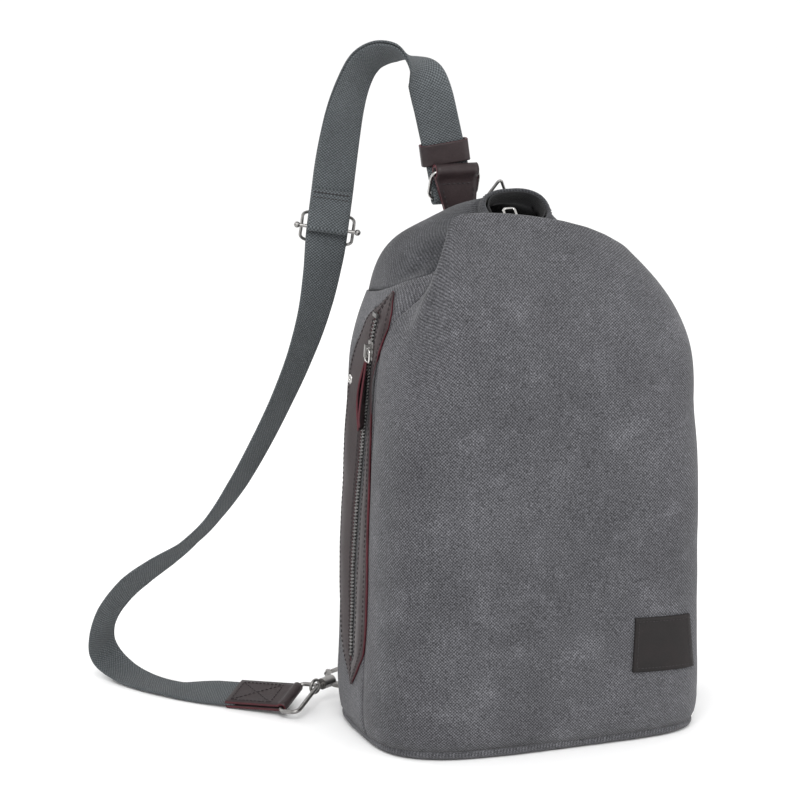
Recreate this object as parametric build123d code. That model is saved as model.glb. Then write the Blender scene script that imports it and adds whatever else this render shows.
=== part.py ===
from build123d import *
import os
from math import cos, radians, sin, tan

os.makedirs("parts", exist_ok=True)

# Canvas sling bag with one adjustable webbing strap, in millimetres.
# Origin: bottom centre of the bag. +Z up, the bag's front faces -Y, its side zip is on -X.

# ---------------------------------------------------------------- driving dimensions
BAG_WIDTH = 240.0
BAG_DEPTH = 160.0
BAG_TOP = 374.0
HALF_W = BAG_WIDTH / 2
HALF_D = BAG_DEPTH / 2

WALL = 3.0            # canvas with its interlining
LINING = 0.8
FOAM = 6.0
LEATHER = 1.5
GAP = 0.3             # air between pieces on different bodies

WEB_WIDTH = 30.0      # strap webbing
WEB_THICK = 1.6

# Body cross-sections, from the bottom up: height, half width, front y, back y, corner radius.
LEVELS = [
    (0.0, HALF_W - 11, -HALF_D + 10, HALF_D - 6, 34.0),
    (9.0, HALF_W - 3, -HALF_D + 2, HALF_D - 1, 38.0),
    (30.0, HALF_W, -HALF_D, HALF_D, 40.0),
    (110.0, HALF_W - 3, -HALF_D - 1, HALF_D - 2, 42.0),
    (200.0, HALF_W - 6, -HALF_D + 3, HALF_D - 6, 43.0),
    (240.0, HALF_W - 7.5, -HALF_D + 7, HALF_D - 8, 43.0),
    (280.0, HALF_W - 11, -HALF_D + 14, HALF_D - 11, 42.0),
    (305.0, HALF_W - 17.5, -HALF_D + 22, HALF_D - 13, 40.0),
    (325.0, HALF_W - 26, -HALF_D + 31, HALF_D - 15, 37.0),
]
SHOULDER_Z = LEVELS[-1][0]
FRONT_SPLIT_Y = -38.0     # seam between the front panel and the side gussets
BACK_SPLIT_Y = 42.0       # seam between the side gussets and the back panel
BASE_RIM_Z = 9.0          # seam between the base and the walls


def section(level, inset=0.0, back_inset=0.0):
    """One body cross-section, pulled in by inset all round and by back_inset more at the back."""
    z, half_width, front, back, corner = level
    front_y = front + inset
    back_y = back - inset - back_inset
    radius = max(corner - inset, 5.0)
    outline = RectangleRounded(2 * (half_width - inset), back_y - front_y, radius)
    return Pos(0, (front_y + back_y) / 2, z) * outline


def body_solid(inset=0.0, back_inset=0.0, bottom_z=0.0):
    """The body's volume pulled in by inset, starting at bottom_z."""
    lowest = (bottom_z,) + LEVELS[0][1:]
    levels = [lowest] + LEVELS[1:]
    return loft([section(level, inset, back_inset) for level in levels], ruled=True)


def block(x, y, z):
    """A box given by its low and high limits along each axis."""
    size = (x[1] - x[0], y[1] - y[0], z[1] - z[0])
    centre = ((x[0] + x[1]) / 2, (y[0] + y[1]) / 2, (z[0] + z[1]) / 2)
    return Pos(*centre) * Box(*size)


BIG = 400.0
ALL = (-BIG, BIG)

outer_body = body_solid()
walls = outer_body - body_solid(inset=WALL, bottom_z=WALL)

# ---------------------------------------------------------------- mouth and collar
MOUTH_CENTRE = Vector(0.5, 6, 375)
MOUTH_TILT = 36.0         # the mouth leans towards the front
MOUTH_HALF_W = 24.0
MOUTH_HALF_D = 18.5
HEM_HEIGHT = 10.0
HEM_THICK = 2.5


def mouth_plane(drop):
    """The mouth's plane, moved drop millimetres down its own axis."""
    axis = Vector(0, -sin(radians(MOUTH_TILT)), cos(radians(MOUTH_TILT)))
    return Plane(origin=MOUTH_CENTRE - axis * drop, x_dir=(1, 0, 0), z_dir=axis)


def mouth_section(drop, grow):
    half_w = MOUTH_HALF_W + grow
    half_d = MOUTH_HALF_D + grow
    return mouth_plane(drop) * RectangleRounded(2 * half_w, 2 * half_d, half_d - 0.5)


NECK_GROW = 3.0           # the neck under the hem is this much wider than the mouth all round


def collar_solid(inset):
    """The cone from the shoulder seam up to the mouth's hem, pulled in and down by inset."""
    shoulder = section(LEVELS[-1], inset)
    waist_outline = RectangleRounded(140 - 2 * inset, 88 - 2 * inset, 34 - inset)
    waist = Pos(-2, 12, SHOULDER_Z + 22 - inset) * waist_outline
    return loft([shoulder, waist, mouth_section(HEM_HEIGHT + inset, NECK_GROW - inset)], ruled=True)


def throat():
    """The way out of the collar, from inside it up to the hem."""
    low = mouth_section(HEM_HEIGHT + WALL, NECK_GROW - WALL)
    return loft([low, mouth_section(HEM_HEIGHT - 1, NECK_GROW - WALL)], ruled=True)


def hem_solid(inset):
    return loft([mouth_section(HEM_HEIGHT, NECK_GROW - inset), mouth_section(0, -inset)], ruled=True)


# The front panel runs on above the shoulder as a tongue that leans back against the collar.
TONGUE_LEVELS = [
    LEVELS[-1],
    (348.0, HALF_W - 40, -HALF_D + 43, 50.0, 36.0),
    (BAG_TOP, HALF_W - 52, -HALF_D + 58, 40.0, 28.0),
]
TONGUE_BACK_Y = -17.0
TONGUE_OUTLINE = [
    (-94, SHOULDER_Z), (-78, 348), (-68, 373), (-20, BAG_TOP), (20, 370), (48, 359), (72, 344),
    (94, SHOULDER_Z),
]


def tongue_shell(outer_inset, inner_inset, back_y):
    """The front part, up to back_y, of a shell that narrows from the shoulder up."""
    outer = loft([section(level, inset=outer_inset) for level in TONGUE_LEVELS], ruled=True)
    inner = loft([section(level, inset=inner_inset) for level in TONGUE_LEVELS], ruled=True)
    return (outer - inner) & block(ALL, (-BIG, back_y), ALL)


def tongue():
    outline = extrude(Plane.XZ * make_face(Polyline(*TONGUE_OUTLINE, close=True)), BIG, both=True)
    return tongue_shell(0, WALL, TONGUE_BACK_Y) & outline


COLLAR_LEFT_X = -42.0
COLLAR_RIGHT_X = 34.0
tongue_room = tongue_shell(-2, WALL + GAP, TONGUE_BACK_Y + GAP)
collar = collar_solid(0) - collar_solid(WALL) - throat() - tongue_room
mouth_hem = hem_solid(0) - hem_solid(HEM_THICK)

# ---------------------------------------------------------------- side zip, in its own plane
ZIP_TOP = Vector(-111.5, -8, 282)         # the slider's place on the chain
ZIP_LOW = Vector(-119.4, 20, 58)          # the chain's lower end
ZIP_UP = (ZIP_TOP - ZIP_LOW).normalized()
ZIP_OUT = (Vector(-1, 0, 0) + ZIP_UP * ZIP_UP.X).normalized()
# Local x runs towards the bag's front, local y up the chain, local z out of the bag.
zip_plane = Plane(origin=ZIP_TOP, x_dir=ZIP_UP.cross(ZIP_OUT), z_dir=ZIP_OUT)
CHAIN_LENGTH = (ZIP_TOP - ZIP_LOW).length
CHAIN_ABOVE = 24.0        # chain above the slider's rest place
SLOT_HALF = 7.0
CHAIN_HALF = 2.6
CHAIN_THICK = 2.4
TAPE_THICK = 0.8
slot_low = -CHAIN_LENGTH - 7
slot_high = CHAIN_ABOVE + 5


def zip_block(x, y, z):
    """A box in the zip's own plane."""
    return zip_plane * block(x, y, z)


slot_cut = zip_block((-SLOT_HALF, SLOT_HALF), (slot_low, slot_high), (-12, 12))


def welt():
    """The pointed leather frame round the zip, lying on the gusset."""
    half = 21.0
    outline = [
        (-2, slot_low - 18), (-half + 3, slot_low + 20), (-half, slot_low + 60), (-half, -40),
        (-15, 4), (-9, slot_high + 3), (14, slot_high + 13), (15, 6), (half - 3, -45),
        (half - 1, slot_low + 50), (10, slot_low + 16),
    ]
    prism = extrude(zip_plane * make_face(Polyline(*outline, close=True)), 30, both=True)
    skin = body_solid(inset=-LEATHER) - body_solid(inset=0)
    return (skin & prism) - slot_cut


def zip_tape(side):
    x = sorted((side * 0.9, side * (SLOT_HALF - 0.2)))
    y = (slot_low + 0.5, slot_high - 0.5)
    return zip_block(x, y, (-CHAIN_THICK / 2, -CHAIN_THICK / 2 + TAPE_THICK))


def zip_row(side):
    """One row of interlocked teeth."""
    x = sorted((side * 0.1, side * CHAIN_HALF))
    z = (-CHAIN_THICK / 2 + TAPE_THICK, CHAIN_THICK / 2)
    return zip_block(x, (-CHAIN_LENGTH, CHAIN_ABOVE), z)


def zip_stop(y_low, y_high):
    half = CHAIN_HALF + 1.2
    z = (-CHAIN_THICK / 2 + TAPE_THICK, CHAIN_THICK / 2 + 0.6)
    return zip_block((-half, half), (y_low, y_high), z)


SLIDER_HALF_W = 4.8
SLIDER_HALF_L = 6.5
SLIDER_BASE = CHAIN_THICK / 2 + 0.4
SLIDER_PLATE = 1.2
BRIDGE_Z = SLIDER_BASE + 3.4
RING_WIRE = 0.8


def zip_slider():
    """A plate over the chain with a cheek down each side and an arched bridge for the pull ring."""
    length = (-SLIDER_HALF_L, SLIDER_HALF_L)
    plate_top = SLIDER_BASE + SLIDER_PLATE
    plate = zip_block((-SLIDER_HALF_W, SLIDER_HALF_W), length, (SLIDER_BASE, plate_top))
    for side in (-1, 1):
        x = sorted((side * (CHAIN_HALF + 1.0), side * SLIDER_HALF_W))
        plate += zip_block(x, length, (0.0, SLIDER_BASE))
    arch = zip_block((-1.1, 1.1), (-4.5, 4.5), (plate_top, BRIDGE_Z + 2.2))
    window = zip_block((-2, 2), (-2.9, 2.9), (plate_top, BRIDGE_Z + 1.0))
    return plate + (arch - window)


def oval_ring(plane, half_x, half_y, corner, wire):
    """A closed wire ring: a rounded rectangle of centre-line half sizes in the given plane."""
    path = (plane * RectangleRounded(2 * half_x, 2 * half_y, corner)).wire()
    start = path @ 0
    return sweep(Plane(origin=start, z_dir=path % 0) * Circle(wire), path=path)


PULL_RING_HALF_X = 3.9
PULL_RING_HALF_Y = 4.6


def ring_and_pull_plane(y):
    origin = zip_plane.from_local_coords(Vector(0, y, BRIDGE_Z - 0.4))
    return Plane(origin=origin, x_dir=zip_plane.x_dir, z_dir=zip_plane.z_dir)


def zip_pull_ring():
    plane = ring_and_pull_plane(-PULL_RING_HALF_Y + 1.0)
    return oval_ring(plane, PULL_RING_HALF_X, PULL_RING_HALF_Y, 2.4, RING_WIRE)


PULL_TOP_Y = -2 * PULL_RING_HALF_Y + 1.0      # the ring's lower bar
PULL_LENGTH = 50.0
PULL_HALF_W = 2.4         # at the ring
PULL_WIDE_HALF_W = 4.5
PULL_NARROW = 14.0        # how far down from the ring the strip widens
PULL_EYE = RING_WIRE + 0.25


def zip_pull():
    """A folded leather strip looped through the ring's lower bar."""
    plane = ring_and_pull_plane(PULL_TOP_Y)
    side = Plane(origin=plane.origin, x_dir=-plane.y_dir, z_dir=plane.x_dir)
    loop = extrude(side * Circle(PULL_EYE + 1.0), PULL_HALF_W, both=True)
    strip_outline = Pos(PULL_LENGTH / 2, 0) * Rectangle(PULL_LENGTH, 2 * PULL_EYE)
    strip = extrude(side * strip_outline, PULL_HALF_W, both=True)
    wide_length = PULL_LENGTH - PULL_NARROW
    wide_outline = Pos(PULL_NARROW + wide_length / 2, 0) * Rectangle(wide_length, 2 * PULL_EYE)
    wide = extrude(side * wide_outline, PULL_WIDE_HALF_W, both=True)
    bore = extrude(side * Circle(PULL_EYE), BIG / 2, both=True)
    return loop + strip + wide - bore


def earphone_eyelet():
    """A metal eyelet in the gusset beside the zip."""
    place = Plane(origin=(-111.3, 25, 257), z_dir=(-1, 0, 0.09))
    return extrude(place * (Circle(4.0) - Circle(2.0)), 1.6)


# ---------------------------------------------------------------- strap route
# Points that the webbing follows from the top ring over the arc, down through the slider,
# round on the ground and back to the hook: (x, y, z) and the direction of its width.
STRAP = [
    ((-21.2, 76.6, 377), (1, -0.04, 0.05)),
    ((-24, 78, 395), (1, -0.12, 0.10)),
    ((-30, 78, 419), (1, -0.28, 0.05)),
    ((-35, 78.5, 442), (1, -0.25, 0)),
    ((-39, 81, 459), (1, 0.10, 0)),
    ((-45.5, 85, 472), (0.85, 0.55, -0.25)),
    ((-56.5, 92, 480), (0.60, 0.72, -0.50)),
    ((-68.5, 99, 479), (0.60, 0.65, -0.60)),
    ((-79, 104.5, 468), (0.75, 0.50, -0.55)),
    ((-86, 108, 452), (0.87, 0.40, -0.40)),
    ((-91, 110, 434), (0.93, 0.22, -0.25)),
    ((-94.5, 111, 414), (0.96, 0.05, -0.15)),
    ((-98, 111, 392), (0.96, -0.15, -0.15)),
    ((-101, 110, 370), (0.93, -0.30, -0.20)),
    ((-105, 108, 348), (0.92, -0.34, -0.22)),
    ((-109, 106, 321), (0.96, 0.08, -0.15)),
    ((-116, 105, 288), (0.95, 0.35, -0.18)),
    ((-127, 106, 255), (0.85, 0.55, -0.30)),
    ((-141, 109, 222), (0.75, 0.65, -0.35)),
    ((-156, 114, 190), (0.70, 0.70, -0.40)),
    ((-171, 121, 160), (0.60, 0.75, -0.45)),
    ((-187, 130, 133), (0.50, 0.85, -0.40)),
    ((-203, 142, 113), (0.45, 0.90, -0.45)),
    ((-220, 154, 98), (0.50, 0.80, -0.60)),
    ((-238, 168, 81), (0.60, 0.70, -0.60)),
    ((-252, 182, 59), (0.75, 0.65, -0.35)),
    ((-257, 195, 35), (0.80, 0.60, 0.05)),
    ((-253, 203, 16), (0.80, 0.55, 0.20)),
    ((-242, 190, 4.5), (0.85, 0.50, 0.05)),
    ((-231, 167, 2.0), (0.90, 0.45, 0)),
    ((-217, 144, 2.6), (0.85, 0.55, 0)),
    ((-198, 121, 5.3), (0.69, 0.67, 0.27)),
    ((-176, 98.5, 7.8), (0.69, 0.67, 0.27)),
]
SLIDER_INDEX = 14         # the route point where the slider sits
LAYER_STEP = 2.8          # from the middle of one webbing layer to the middle of the other
STRAP_SAMPLES = 144


def half_turn(a, b, c):
    """Half the angle, in radians, that the route turns by at b."""
    return radians((b - a).get_angle(c - b)) / 2


def corner_radius(a, b, c):
    """0.45 of the shorter run, divided by the tangent of half the turn at b."""
    return 0.45 * min((b - a).length, (c - b).length) / tan(half_turn(a, b, c))


def filleted_route(points):
    """Straight runs joined by tangent arcs as large as the runs allow."""
    radii = [corner_radius(*points[i - 1:i + 2]) for i in range(1, len(points) - 1)]
    return FilletPolyline(*points, radius=radii), radii


def run_lengths(points):
    """How far along the straight runs each point lies."""
    distances = [0.0]
    for a, b in zip(points, points[1:]):
        distances.append(distances[-1] + (b - a).length)
    return distances


def webbing_planes(path, distances, widths):
    """Planes across the webbing, all along its path, with x along its width."""
    planes = []
    for i in range(STRAP_SAMPLES + 1):
        place = i / STRAP_SAMPLES
        distance = place * distances[-1]
        k = max(j for j in range(len(distances) - 1) if distances[j] <= distance + 1e-9)
        share = (distance - distances[k]) / (distances[k + 1] - distances[k])
        width = widths[k] * (1 - share) + widths[k + 1] * share
        along = path % place
        across = width - along * width.dot(along)
        planes.append(Plane(origin=path @ place, x_dir=across.normalized(), z_dir=along))
    return planes


def webbing(planes):
    """A flat band of webbing through the given planes."""
    return loft([plane * Rectangle(WEB_WIDTH, WEB_THICK) for plane in planes], ruled=True)


route_points = [Vector(*point) for point, _ in STRAP]
route_widths = [Vector(*width).normalized() for _, width in STRAP]


def inner_layer_points():
    """The doubled stretch's inner layer lies LAYER_STEP inside the arc."""
    points = []
    for i in range(SLIDER_INDEX + 1):
        before = route_points[max(i - 1, 0)]
        after = route_points[i + 1]
        inward = (after - before).cross(route_widths[i]).normalized()
        mitre = cos(half_turn(before, route_points[i], after)) if i > 0 else 1.0
        points.append(route_points[i] + inward * LAYER_STEP / mitre)
    return points


def inner_plane(plane):
    """The inner layer's plane beside one of the long strap's."""
    return Plane(origin=plane.origin + plane.y_dir * LAYER_STEP, x_dir=plane.x_dir, z_dir=plane.z_dir)


long_path, long_radii = filleted_route(route_points)
inner_path, inner_radii = filleted_route(inner_layer_points())
route_distances = run_lengths(route_points)
strap_planes = webbing_planes(long_path, route_distances, route_widths)
doubled_samples = round(STRAP_SAMPLES * route_distances[SLIDER_INDEX] / route_distances[-1])
strap_long = webbing(strap_planes)
inner_ribbon = webbing([inner_plane(plane) for plane in strap_planes[:doubled_samples + 1]])


# ---------------------------------------------------------------- top anchor: tab, ring, keeper
ANCHOR_X = -21.0
FOLD = Vector(ANCHOR_X, 69.5, 391)        # the ring's upper bar, inside the tab's fold
LOWER_BAR = Vector(ANCHOR_X, 77.0, 370.2)
TOP_RING_WIRE = 1.25
TOP_RING_HALF_X = 18.3
TAB_LEATHER = 2.2
TAB_BORE = 2.6
TAB_HALF_TOP = 15.2       # at the fold
TAB_WAIST_LEFT = 9.0      # below the waist the tab is narrower, mostly on its left
TAB_WAIST_RIGHT = 14.0
TAB_WAIST_Z = 356.0
TAB_LOW_Z = 302.0


def top_anchor_tab():
    """A leather strip folded over the ring's bar and sewn to the top of the back panel."""
    side = Plane(origin=(0, FOLD.Y, FOLD.Z), x_dir=(0, 1, 0), z_dir=(1, 0, 0))
    tail_length = FOLD.Z - TAB_LOW_Z
    profile = side * Circle(TAB_BORE + TAB_LEATHER)
    profile += side * Pos(0, -tail_length / 2) * Rectangle(2 * TAB_LEATHER, tail_length)
    profile -= side * Circle(TAB_BORE)
    outline = [
        (ANCHOR_X - TAB_HALF_TOP, FOLD.Z + 8), (ANCHOR_X - TAB_HALF_TOP, FOLD.Z - 5),
        (ANCHOR_X - TAB_WAIST_LEFT, TAB_WAIST_Z), (ANCHOR_X - TAB_WAIST_LEFT, TAB_LOW_Z - 1),
        (ANCHOR_X + TAB_WAIST_RIGHT, TAB_LOW_Z - 1), (ANCHOR_X + TAB_WAIST_RIGHT, TAB_WAIST_Z),
        (ANCHOR_X + TAB_HALF_TOP, FOLD.Z - 5), (ANCHOR_X + TAB_HALF_TOP, FOLD.Z + 8),
    ]
    front = extrude(Plane.XZ * make_face(Polyline(*outline, close=True)), BIG, both=True)
    return extrude(profile, BIG / 2, both=True) & front


def top_ring():
    down = (LOWER_BAR - FOLD).normalized()
    centre = (LOWER_BAR + FOLD) / 2
    half_y = (LOWER_BAR - FOLD).length / 2
    plane = Plane(origin=centre, x_dir=(1, 0, 0), z_dir=Vector(1, 0, 0).cross(down))
    return oval_ring(plane, TOP_RING_HALF_X, half_y, 6.5, TOP_RING_WIRE)


def strap_ring_loop():
    """The webbing's turn round the ring's lower bar, up to where its two layers lie together."""
    side = Plane(origin=(0, LOWER_BAR.Y, LOWER_BAR.Z), x_dir=(0, 1, 0), z_dir=(1, 0, 0))
    outer_r = TAB_BORE + WEB_THICK
    top = route_points[0].Z - LOWER_BAR.Z
    low_top = top - WEB_THICK - 1.0
    layer = route_points[0].Y + LAYER_STEP - LOWER_BAR.Y
    outline = [
        (-outer_r, 0), (-WEB_THICK, low_top), (layer - WEB_THICK / 2, low_top), (layer - WEB_THICK / 2, top),
        (layer + WEB_THICK / 2, top), (outer_r, 0),
    ]
    profile = side * Circle(outer_r) + side * make_face(Polyline(*outline, close=True))
    profile -= side * Circle(TAB_BORE)
    half = WEB_WIDTH / 2
    centre_x = route_points[0].X
    return extrude(profile, BIG / 2, both=True) & block((centre_x - half, centre_x + half), ALL, ALL)


def strap_plane(i, share):
    """A plane across the doubled webbing, share of the way from route point i to the next."""
    a, b = route_points[i], route_points[i + 1]
    along = (b - a).normalized()
    width = route_widths[i] * (1 - share) + route_widths[i + 1] * share
    across = (width - along * width.dot(along)).normalized()
    inward = along.cross(across)
    origin = a * (1 - share) + b * share + inward * LAYER_STEP / 2
    return Plane(origin=origin, x_dir=across, z_dir=along)


def strap_keeper():
    """The leather band that holds the two layers together under the tab's fold."""
    plane = strap_plane(1, 0.36)
    room = LAYER_STEP + WEB_THICK + 2.8
    outer = plane * RectangleRounded(WEB_WIDTH + 1.6 + 2 * LEATHER, room + 2 * LEATHER, 2.0)
    inner = plane * RectangleRounded(WEB_WIDTH + 1.6, room, 0.8)
    return extrude(outer - inner, 8.0, both=True)


# ---------------------------------------------------------------- strap adjuster
slider_across = strap_plane(SLIDER_INDEX - 1, 1.0).x_dir
slider_along = (route_points[SLIDER_INDEX] - route_points[SLIDER_INDEX - 1]).normalized()
SLIDER_OUT = slider_along.cross(slider_across)
BAR_HEIGHT = LAYER_STEP + WEB_THICK / 2 + 1.6
END_BAR_HEIGHT = -5.2
FRAME_HALF_X = 18.7
FRAME_HALF_Y = 10.0
FRAME_WIRE = 1.2
BAR_WIRE = 1.3
# Local x across the strap, local y back up the strap, local z towards the inside of the arc.
adjuster_plane = Plane(origin=route_points[SLIDER_INDEX], x_dir=slider_across, z_dir=SLIDER_OUT)


def wire_rod(points, radii, wire):
    """A round wire bent along straight runs with rounded corners."""
    path = FilletPolyline(*points, radius=radii)
    return sweep(Plane(origin=path @ 0, z_dir=path % 0) * Circle(wire), path=path)


def adjuster_frame():
    """A wire frame whose end bars lie under the strap and whose arms rise to the centre bar."""
    frame = None
    for end in (-1, 1):
        corner_y = end * FRAME_HALF_Y
        points = [
            (-FRAME_HALF_X, 0, BAR_HEIGHT), (-FRAME_HALF_X, corner_y, END_BAR_HEIGHT),
            (FRAME_HALF_X, corner_y, END_BAR_HEIGHT), (FRAME_HALF_X, 0, BAR_HEIGHT),
        ]
        half = wire_rod(points, [5.0, 5.0], FRAME_WIRE)
        frame = half if frame is None else frame + half
    return adjuster_plane * frame - adjuster_bar_rod(BAR_WIRE)


def adjuster_bar_rod(radius):
    length = 2 * FRAME_HALF_X + 4.4
    return adjuster_plane * Pos(0, 0, BAR_HEIGHT) * Rot(0, 90, 0) * Cylinder(radius, length)


def adjuster_bar():
    """The centre bar with a round head beyond each arm."""
    bar = adjuster_bar_rod(BAR_WIRE)
    for side in (-1, 1):
        bar += adjuster_plane * Pos(side * (FRAME_HALF_X + 3.2), 0, BAR_HEIGHT) * Sphere(2.3)
    return bar


SEWN_END = 27.0


def sewn_loop():
    """The inner layer's end, turned round the centre bar and sewn back onto itself."""
    side = Plane(origin=adjuster_plane.origin, x_dir=adjuster_plane.y_dir, z_dir=adjuster_plane.x_dir)
    bore = BAR_WIRE + 0.3
    low = LAYER_STEP + WEB_THICK / 2
    front = [
        (0, BAR_HEIGHT + bore), (0, BAR_HEIGHT + bore + WEB_THICK), (10, low + WEB_THICK + 0.2),
        (SEWN_END, low + WEB_THICK + 0.2), (SEWN_END, low + 0.3), (9, low + 0.3),
    ]
    ring = side * Pos(0, BAR_HEIGHT) * (Circle(bore + WEB_THICK) - Circle(bore))
    profile = ring + side * make_face(Polyline(*front, close=True))
    return extrude(profile, WEB_WIDTH / 2, both=True)


# ---------------------------------------------------------------- strap end: leather, ring, hook
STRAP_END = route_points[-1]
END_ALONG = (route_points[-1] - route_points[-2]).normalized()
end_width = route_widths[-1] - END_ALONG * route_widths[-1].dot(END_ALONG)
end_plane = Plane(origin=STRAP_END, x_dir=end_width.normalized(), z_dir=END_ALONG)
ROLL_S = 39.0             # from the webbing's end to the end ring's bar
END_WIRE = 1.6
END_BORE = END_WIRE + 0.4
END_RING_HALF_W = 18.5
END_RING_HALF_L = 7.5
SHEATH_HALF_T = 2.6


def end_point(across, along):
    return STRAP_END + end_plane.x_dir * across + END_ALONG * along


def strap_end_leather():
    """Leather sewn over both faces of the webbing's end, with a rolled loop for the ring."""
    side = Plane(origin=STRAP_END, x_dir=END_ALONG, z_dir=end_plane.x_dir)
    flat = side * Pos((ROLL_S - 7) / 2, 0) * Rectangle(ROLL_S + 7, 2 * SHEATH_HALF_T)
    roll = side * Pos(ROLL_S, 0) * Circle(END_BORE + 2.0)
    bore = side * Pos(ROLL_S, 0) * Circle(END_BORE)
    body = extrude(flat + roll - bore, WEB_WIDTH / 2 - 0.5, both=True)
    opening = end_plane * Rectangle(WEB_WIDTH + 1, WEB_THICK + 0.3)
    return body - extrude(opening, -20) - extrude(opening, 0.2)


def strap_end_ring():
    centre = end_point(0, ROLL_S + END_RING_HALF_L)
    plane = Plane(origin=centre, x_dir=end_plane.x_dir, z_dir=end_plane.x_dir.cross(END_ALONG))
    return oval_ring(plane, END_RING_HALF_W, END_RING_HALF_L, 4.5, END_WIRE)


EYE_SEAT = end_point(END_RING_HALF_W - 3.0, ROLL_S + 2 * END_RING_HALF_L - 2.4)
HOOK_AIM = Vector(-92, 95, 16)            # where the hook's bow holds the bag's ring
HOOK_AXIS = (HOOK_AIM - EYE_SEAT).normalized()
HOOK_ROLL = 30.0
level_out = (Vector(0, 0, 1) - HOOK_AXIS * HOOK_AXIS.Z).normalized()
HOOK_NORMAL = level_out.rotate(Axis(origin=(0, 0, 0), direction=HOOK_AXIS), HOOK_ROLL)
# Local x along the hook, local z out of its flat side, from the middle of the ring's wire.
hook_plane = Plane(origin=EYE_SEAT, x_dir=HOOK_AXIS, z_dir=HOOK_NORMAL)
along_hook = Plane(origin=EYE_SEAT, z_dir=HOOK_AXIS)

EYE_MAJOR = 4.8
EYE_WIRE = 1.2
EYE_SHIFT = EYE_MAJOR - EYE_WIRE - END_WIRE - 0.5
POST_R = 1.5
HEAD_R = 2.6
BARREL_R = 4.2
BARREL_LOW = 8.8
BARREL_HIGH = 20.5
HEAD_LOW = 15.6
HEAD_HIGH = 17.2
BOW_CENTRE = (HOOK_AIM - EYE_SEAT).length - 11.0


def hook_rod(radius, low, high):
    return extrude(along_hook.offset(low) * Circle(radius), high - low)


def hook_swivel():
    """The eye on the strap's ring, and the headed post that the hook turns on."""
    eye_plane = Plane(origin=EYE_SEAT + HOOK_AXIS * EYE_SHIFT, z_dir=HOOK_AXIS.cross(Vector(0, 0, 1)))
    eye = eye_plane * Torus(EYE_MAJOR, EYE_WIRE)
    post = hook_rod(POST_R, EYE_SHIFT + EYE_MAJOR - 0.4, HEAD_HIGH)
    return eye + post + hook_rod(HEAD_R, HEAD_LOW, HEAD_HIGH)


BOW_OUT_X, BOW_OUT_Y = 17.0, 9.8
BOW_IN_X, BOW_IN_Y = 13.4, 6.4
PLATE_HALF = 1.7
GATE_Y = 7.6
PIVOT_X = BOW_CENTRE - 9.5
GATE_END_X = BOW_CENTRE + 8.6
PIN_R = 0.9


def hook_solid(sketch, half, z=0.0):
    """Extrude a sketch given in the hook's own plane by half each way."""
    return extrude(hook_plane.offset(z) * sketch, half, both=True)


def hook_body():
    bow = Pos(BOW_CENTRE, 0) * (Ellipse(BOW_OUT_X, BOW_OUT_Y) - Ellipse(BOW_IN_X, BOW_IN_Y))
    gateway = Pos((PIVOT_X + GATE_END_X) / 2 + 1.6, 9) * Rectangle(GATE_END_X - PIVOT_X - 1.8, 10)
    body = hook_solid(bow - gateway, PLATE_HALF) + hook_rod(BARREL_R, BARREL_LOW, BARREL_HIGH)
    lug = Pos(PIVOT_X, GATE_Y - 0.4) * Circle(2.3)
    body += hook_solid(lug, PLATE_HALF)
    body -= hook_solid(Pos(PIVOT_X + 2.2, GATE_Y) * Rectangle(9.4, 6.6), 1.2)
    body -= hook_solid(Pos(PIVOT_X, GATE_Y) * Circle(PIN_R), 5)
    body -= hook_rod(POST_R + 0.08, BARREL_LOW - 1, HEAD_LOW)
    return body - hook_rod(HEAD_R + 0.3, HEAD_LOW - 0.3, HEAD_HIGH + 0.3)


def hook_gate():
    """The sprung bar that closes the hook's mouth."""
    knuckle = hook_solid(Pos(PIVOT_X, GATE_Y) * Circle(1.9), 0.65, z=-0.35)
    neck = hook_solid(Pos(PIVOT_X + 2.4, GATE_Y) * Rectangle(4.0, 2.2), 0.65, z=-0.35)
    bar_low = PIVOT_X + 3.9
    bar_outline = Pos((bar_low + GATE_END_X) / 2, GATE_Y - 0.4) * Rectangle(GATE_END_X - bar_low, 2.4)
    bar = hook_solid(bar_outline, 1.0)
    return knuckle + neck + bar - hook_solid(Pos(PIVOT_X, GATE_Y) * Circle(PIN_R + 0.06), 5)


def hook_gate_pin():
    return hook_solid(Pos(PIVOT_X, GATE_Y) * Circle(PIN_R), PLATE_HALF)


def hook_gate_spring():
    return hook_solid(Pos(PIVOT_X, GATE_Y) * (Circle(1.75) - Circle(1.15)), 0.3, z=0.8)


# ---------------------------------------------------------------- rings for the strap's hook
RING_BAR_X = 79.0
RING_BAR_Y = 90.0
RING_BAR_Z = 16.0
SIDE_RING_WIRE = 1.25
SIDE_RING_HALF_Z = 11.0
SIDE_RING_HALF_L = 7.0
SIDE_TAB_BORE = 1.6


def ring_tab(side):
    """A leather tab sewn to the back panel's foot, folded round the ring's upright bar."""
    profile = Pos(side * RING_BAR_X, RING_BAR_Y) * Circle(SIDE_TAB_BORE + LEATHER)
    tail = RING_BAR_Y - HALF_D + 6
    profile += Pos(side * RING_BAR_X, RING_BAR_Y - tail / 2) * Rectangle(2 * LEATHER + 0.6, tail)
    profile -= Pos(side * RING_BAR_X, RING_BAR_Y) * Circle(SIDE_TAB_BORE)
    tab = Pos(0, 0, RING_BAR_Z) * extrude(profile, 7.0, both=True)
    return tab - outer_body


def side_ring(side):
    """A wire ring that swings on the tab's upright fold."""
    outwards = Vector(side * 13, 5, 0).normalized()
    centre = Vector(side * RING_BAR_X, RING_BAR_Y, RING_BAR_Z) + outwards * SIDE_RING_HALF_L
    plane = Plane(origin=centre, x_dir=(0, 0, 1), z_dir=outwards.cross(Vector(0, 0, 1)))
    return oval_ring(plane, SIDE_RING_HALF_Z, SIDE_RING_HALF_L, 3.0, SIDE_RING_WIRE)


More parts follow.
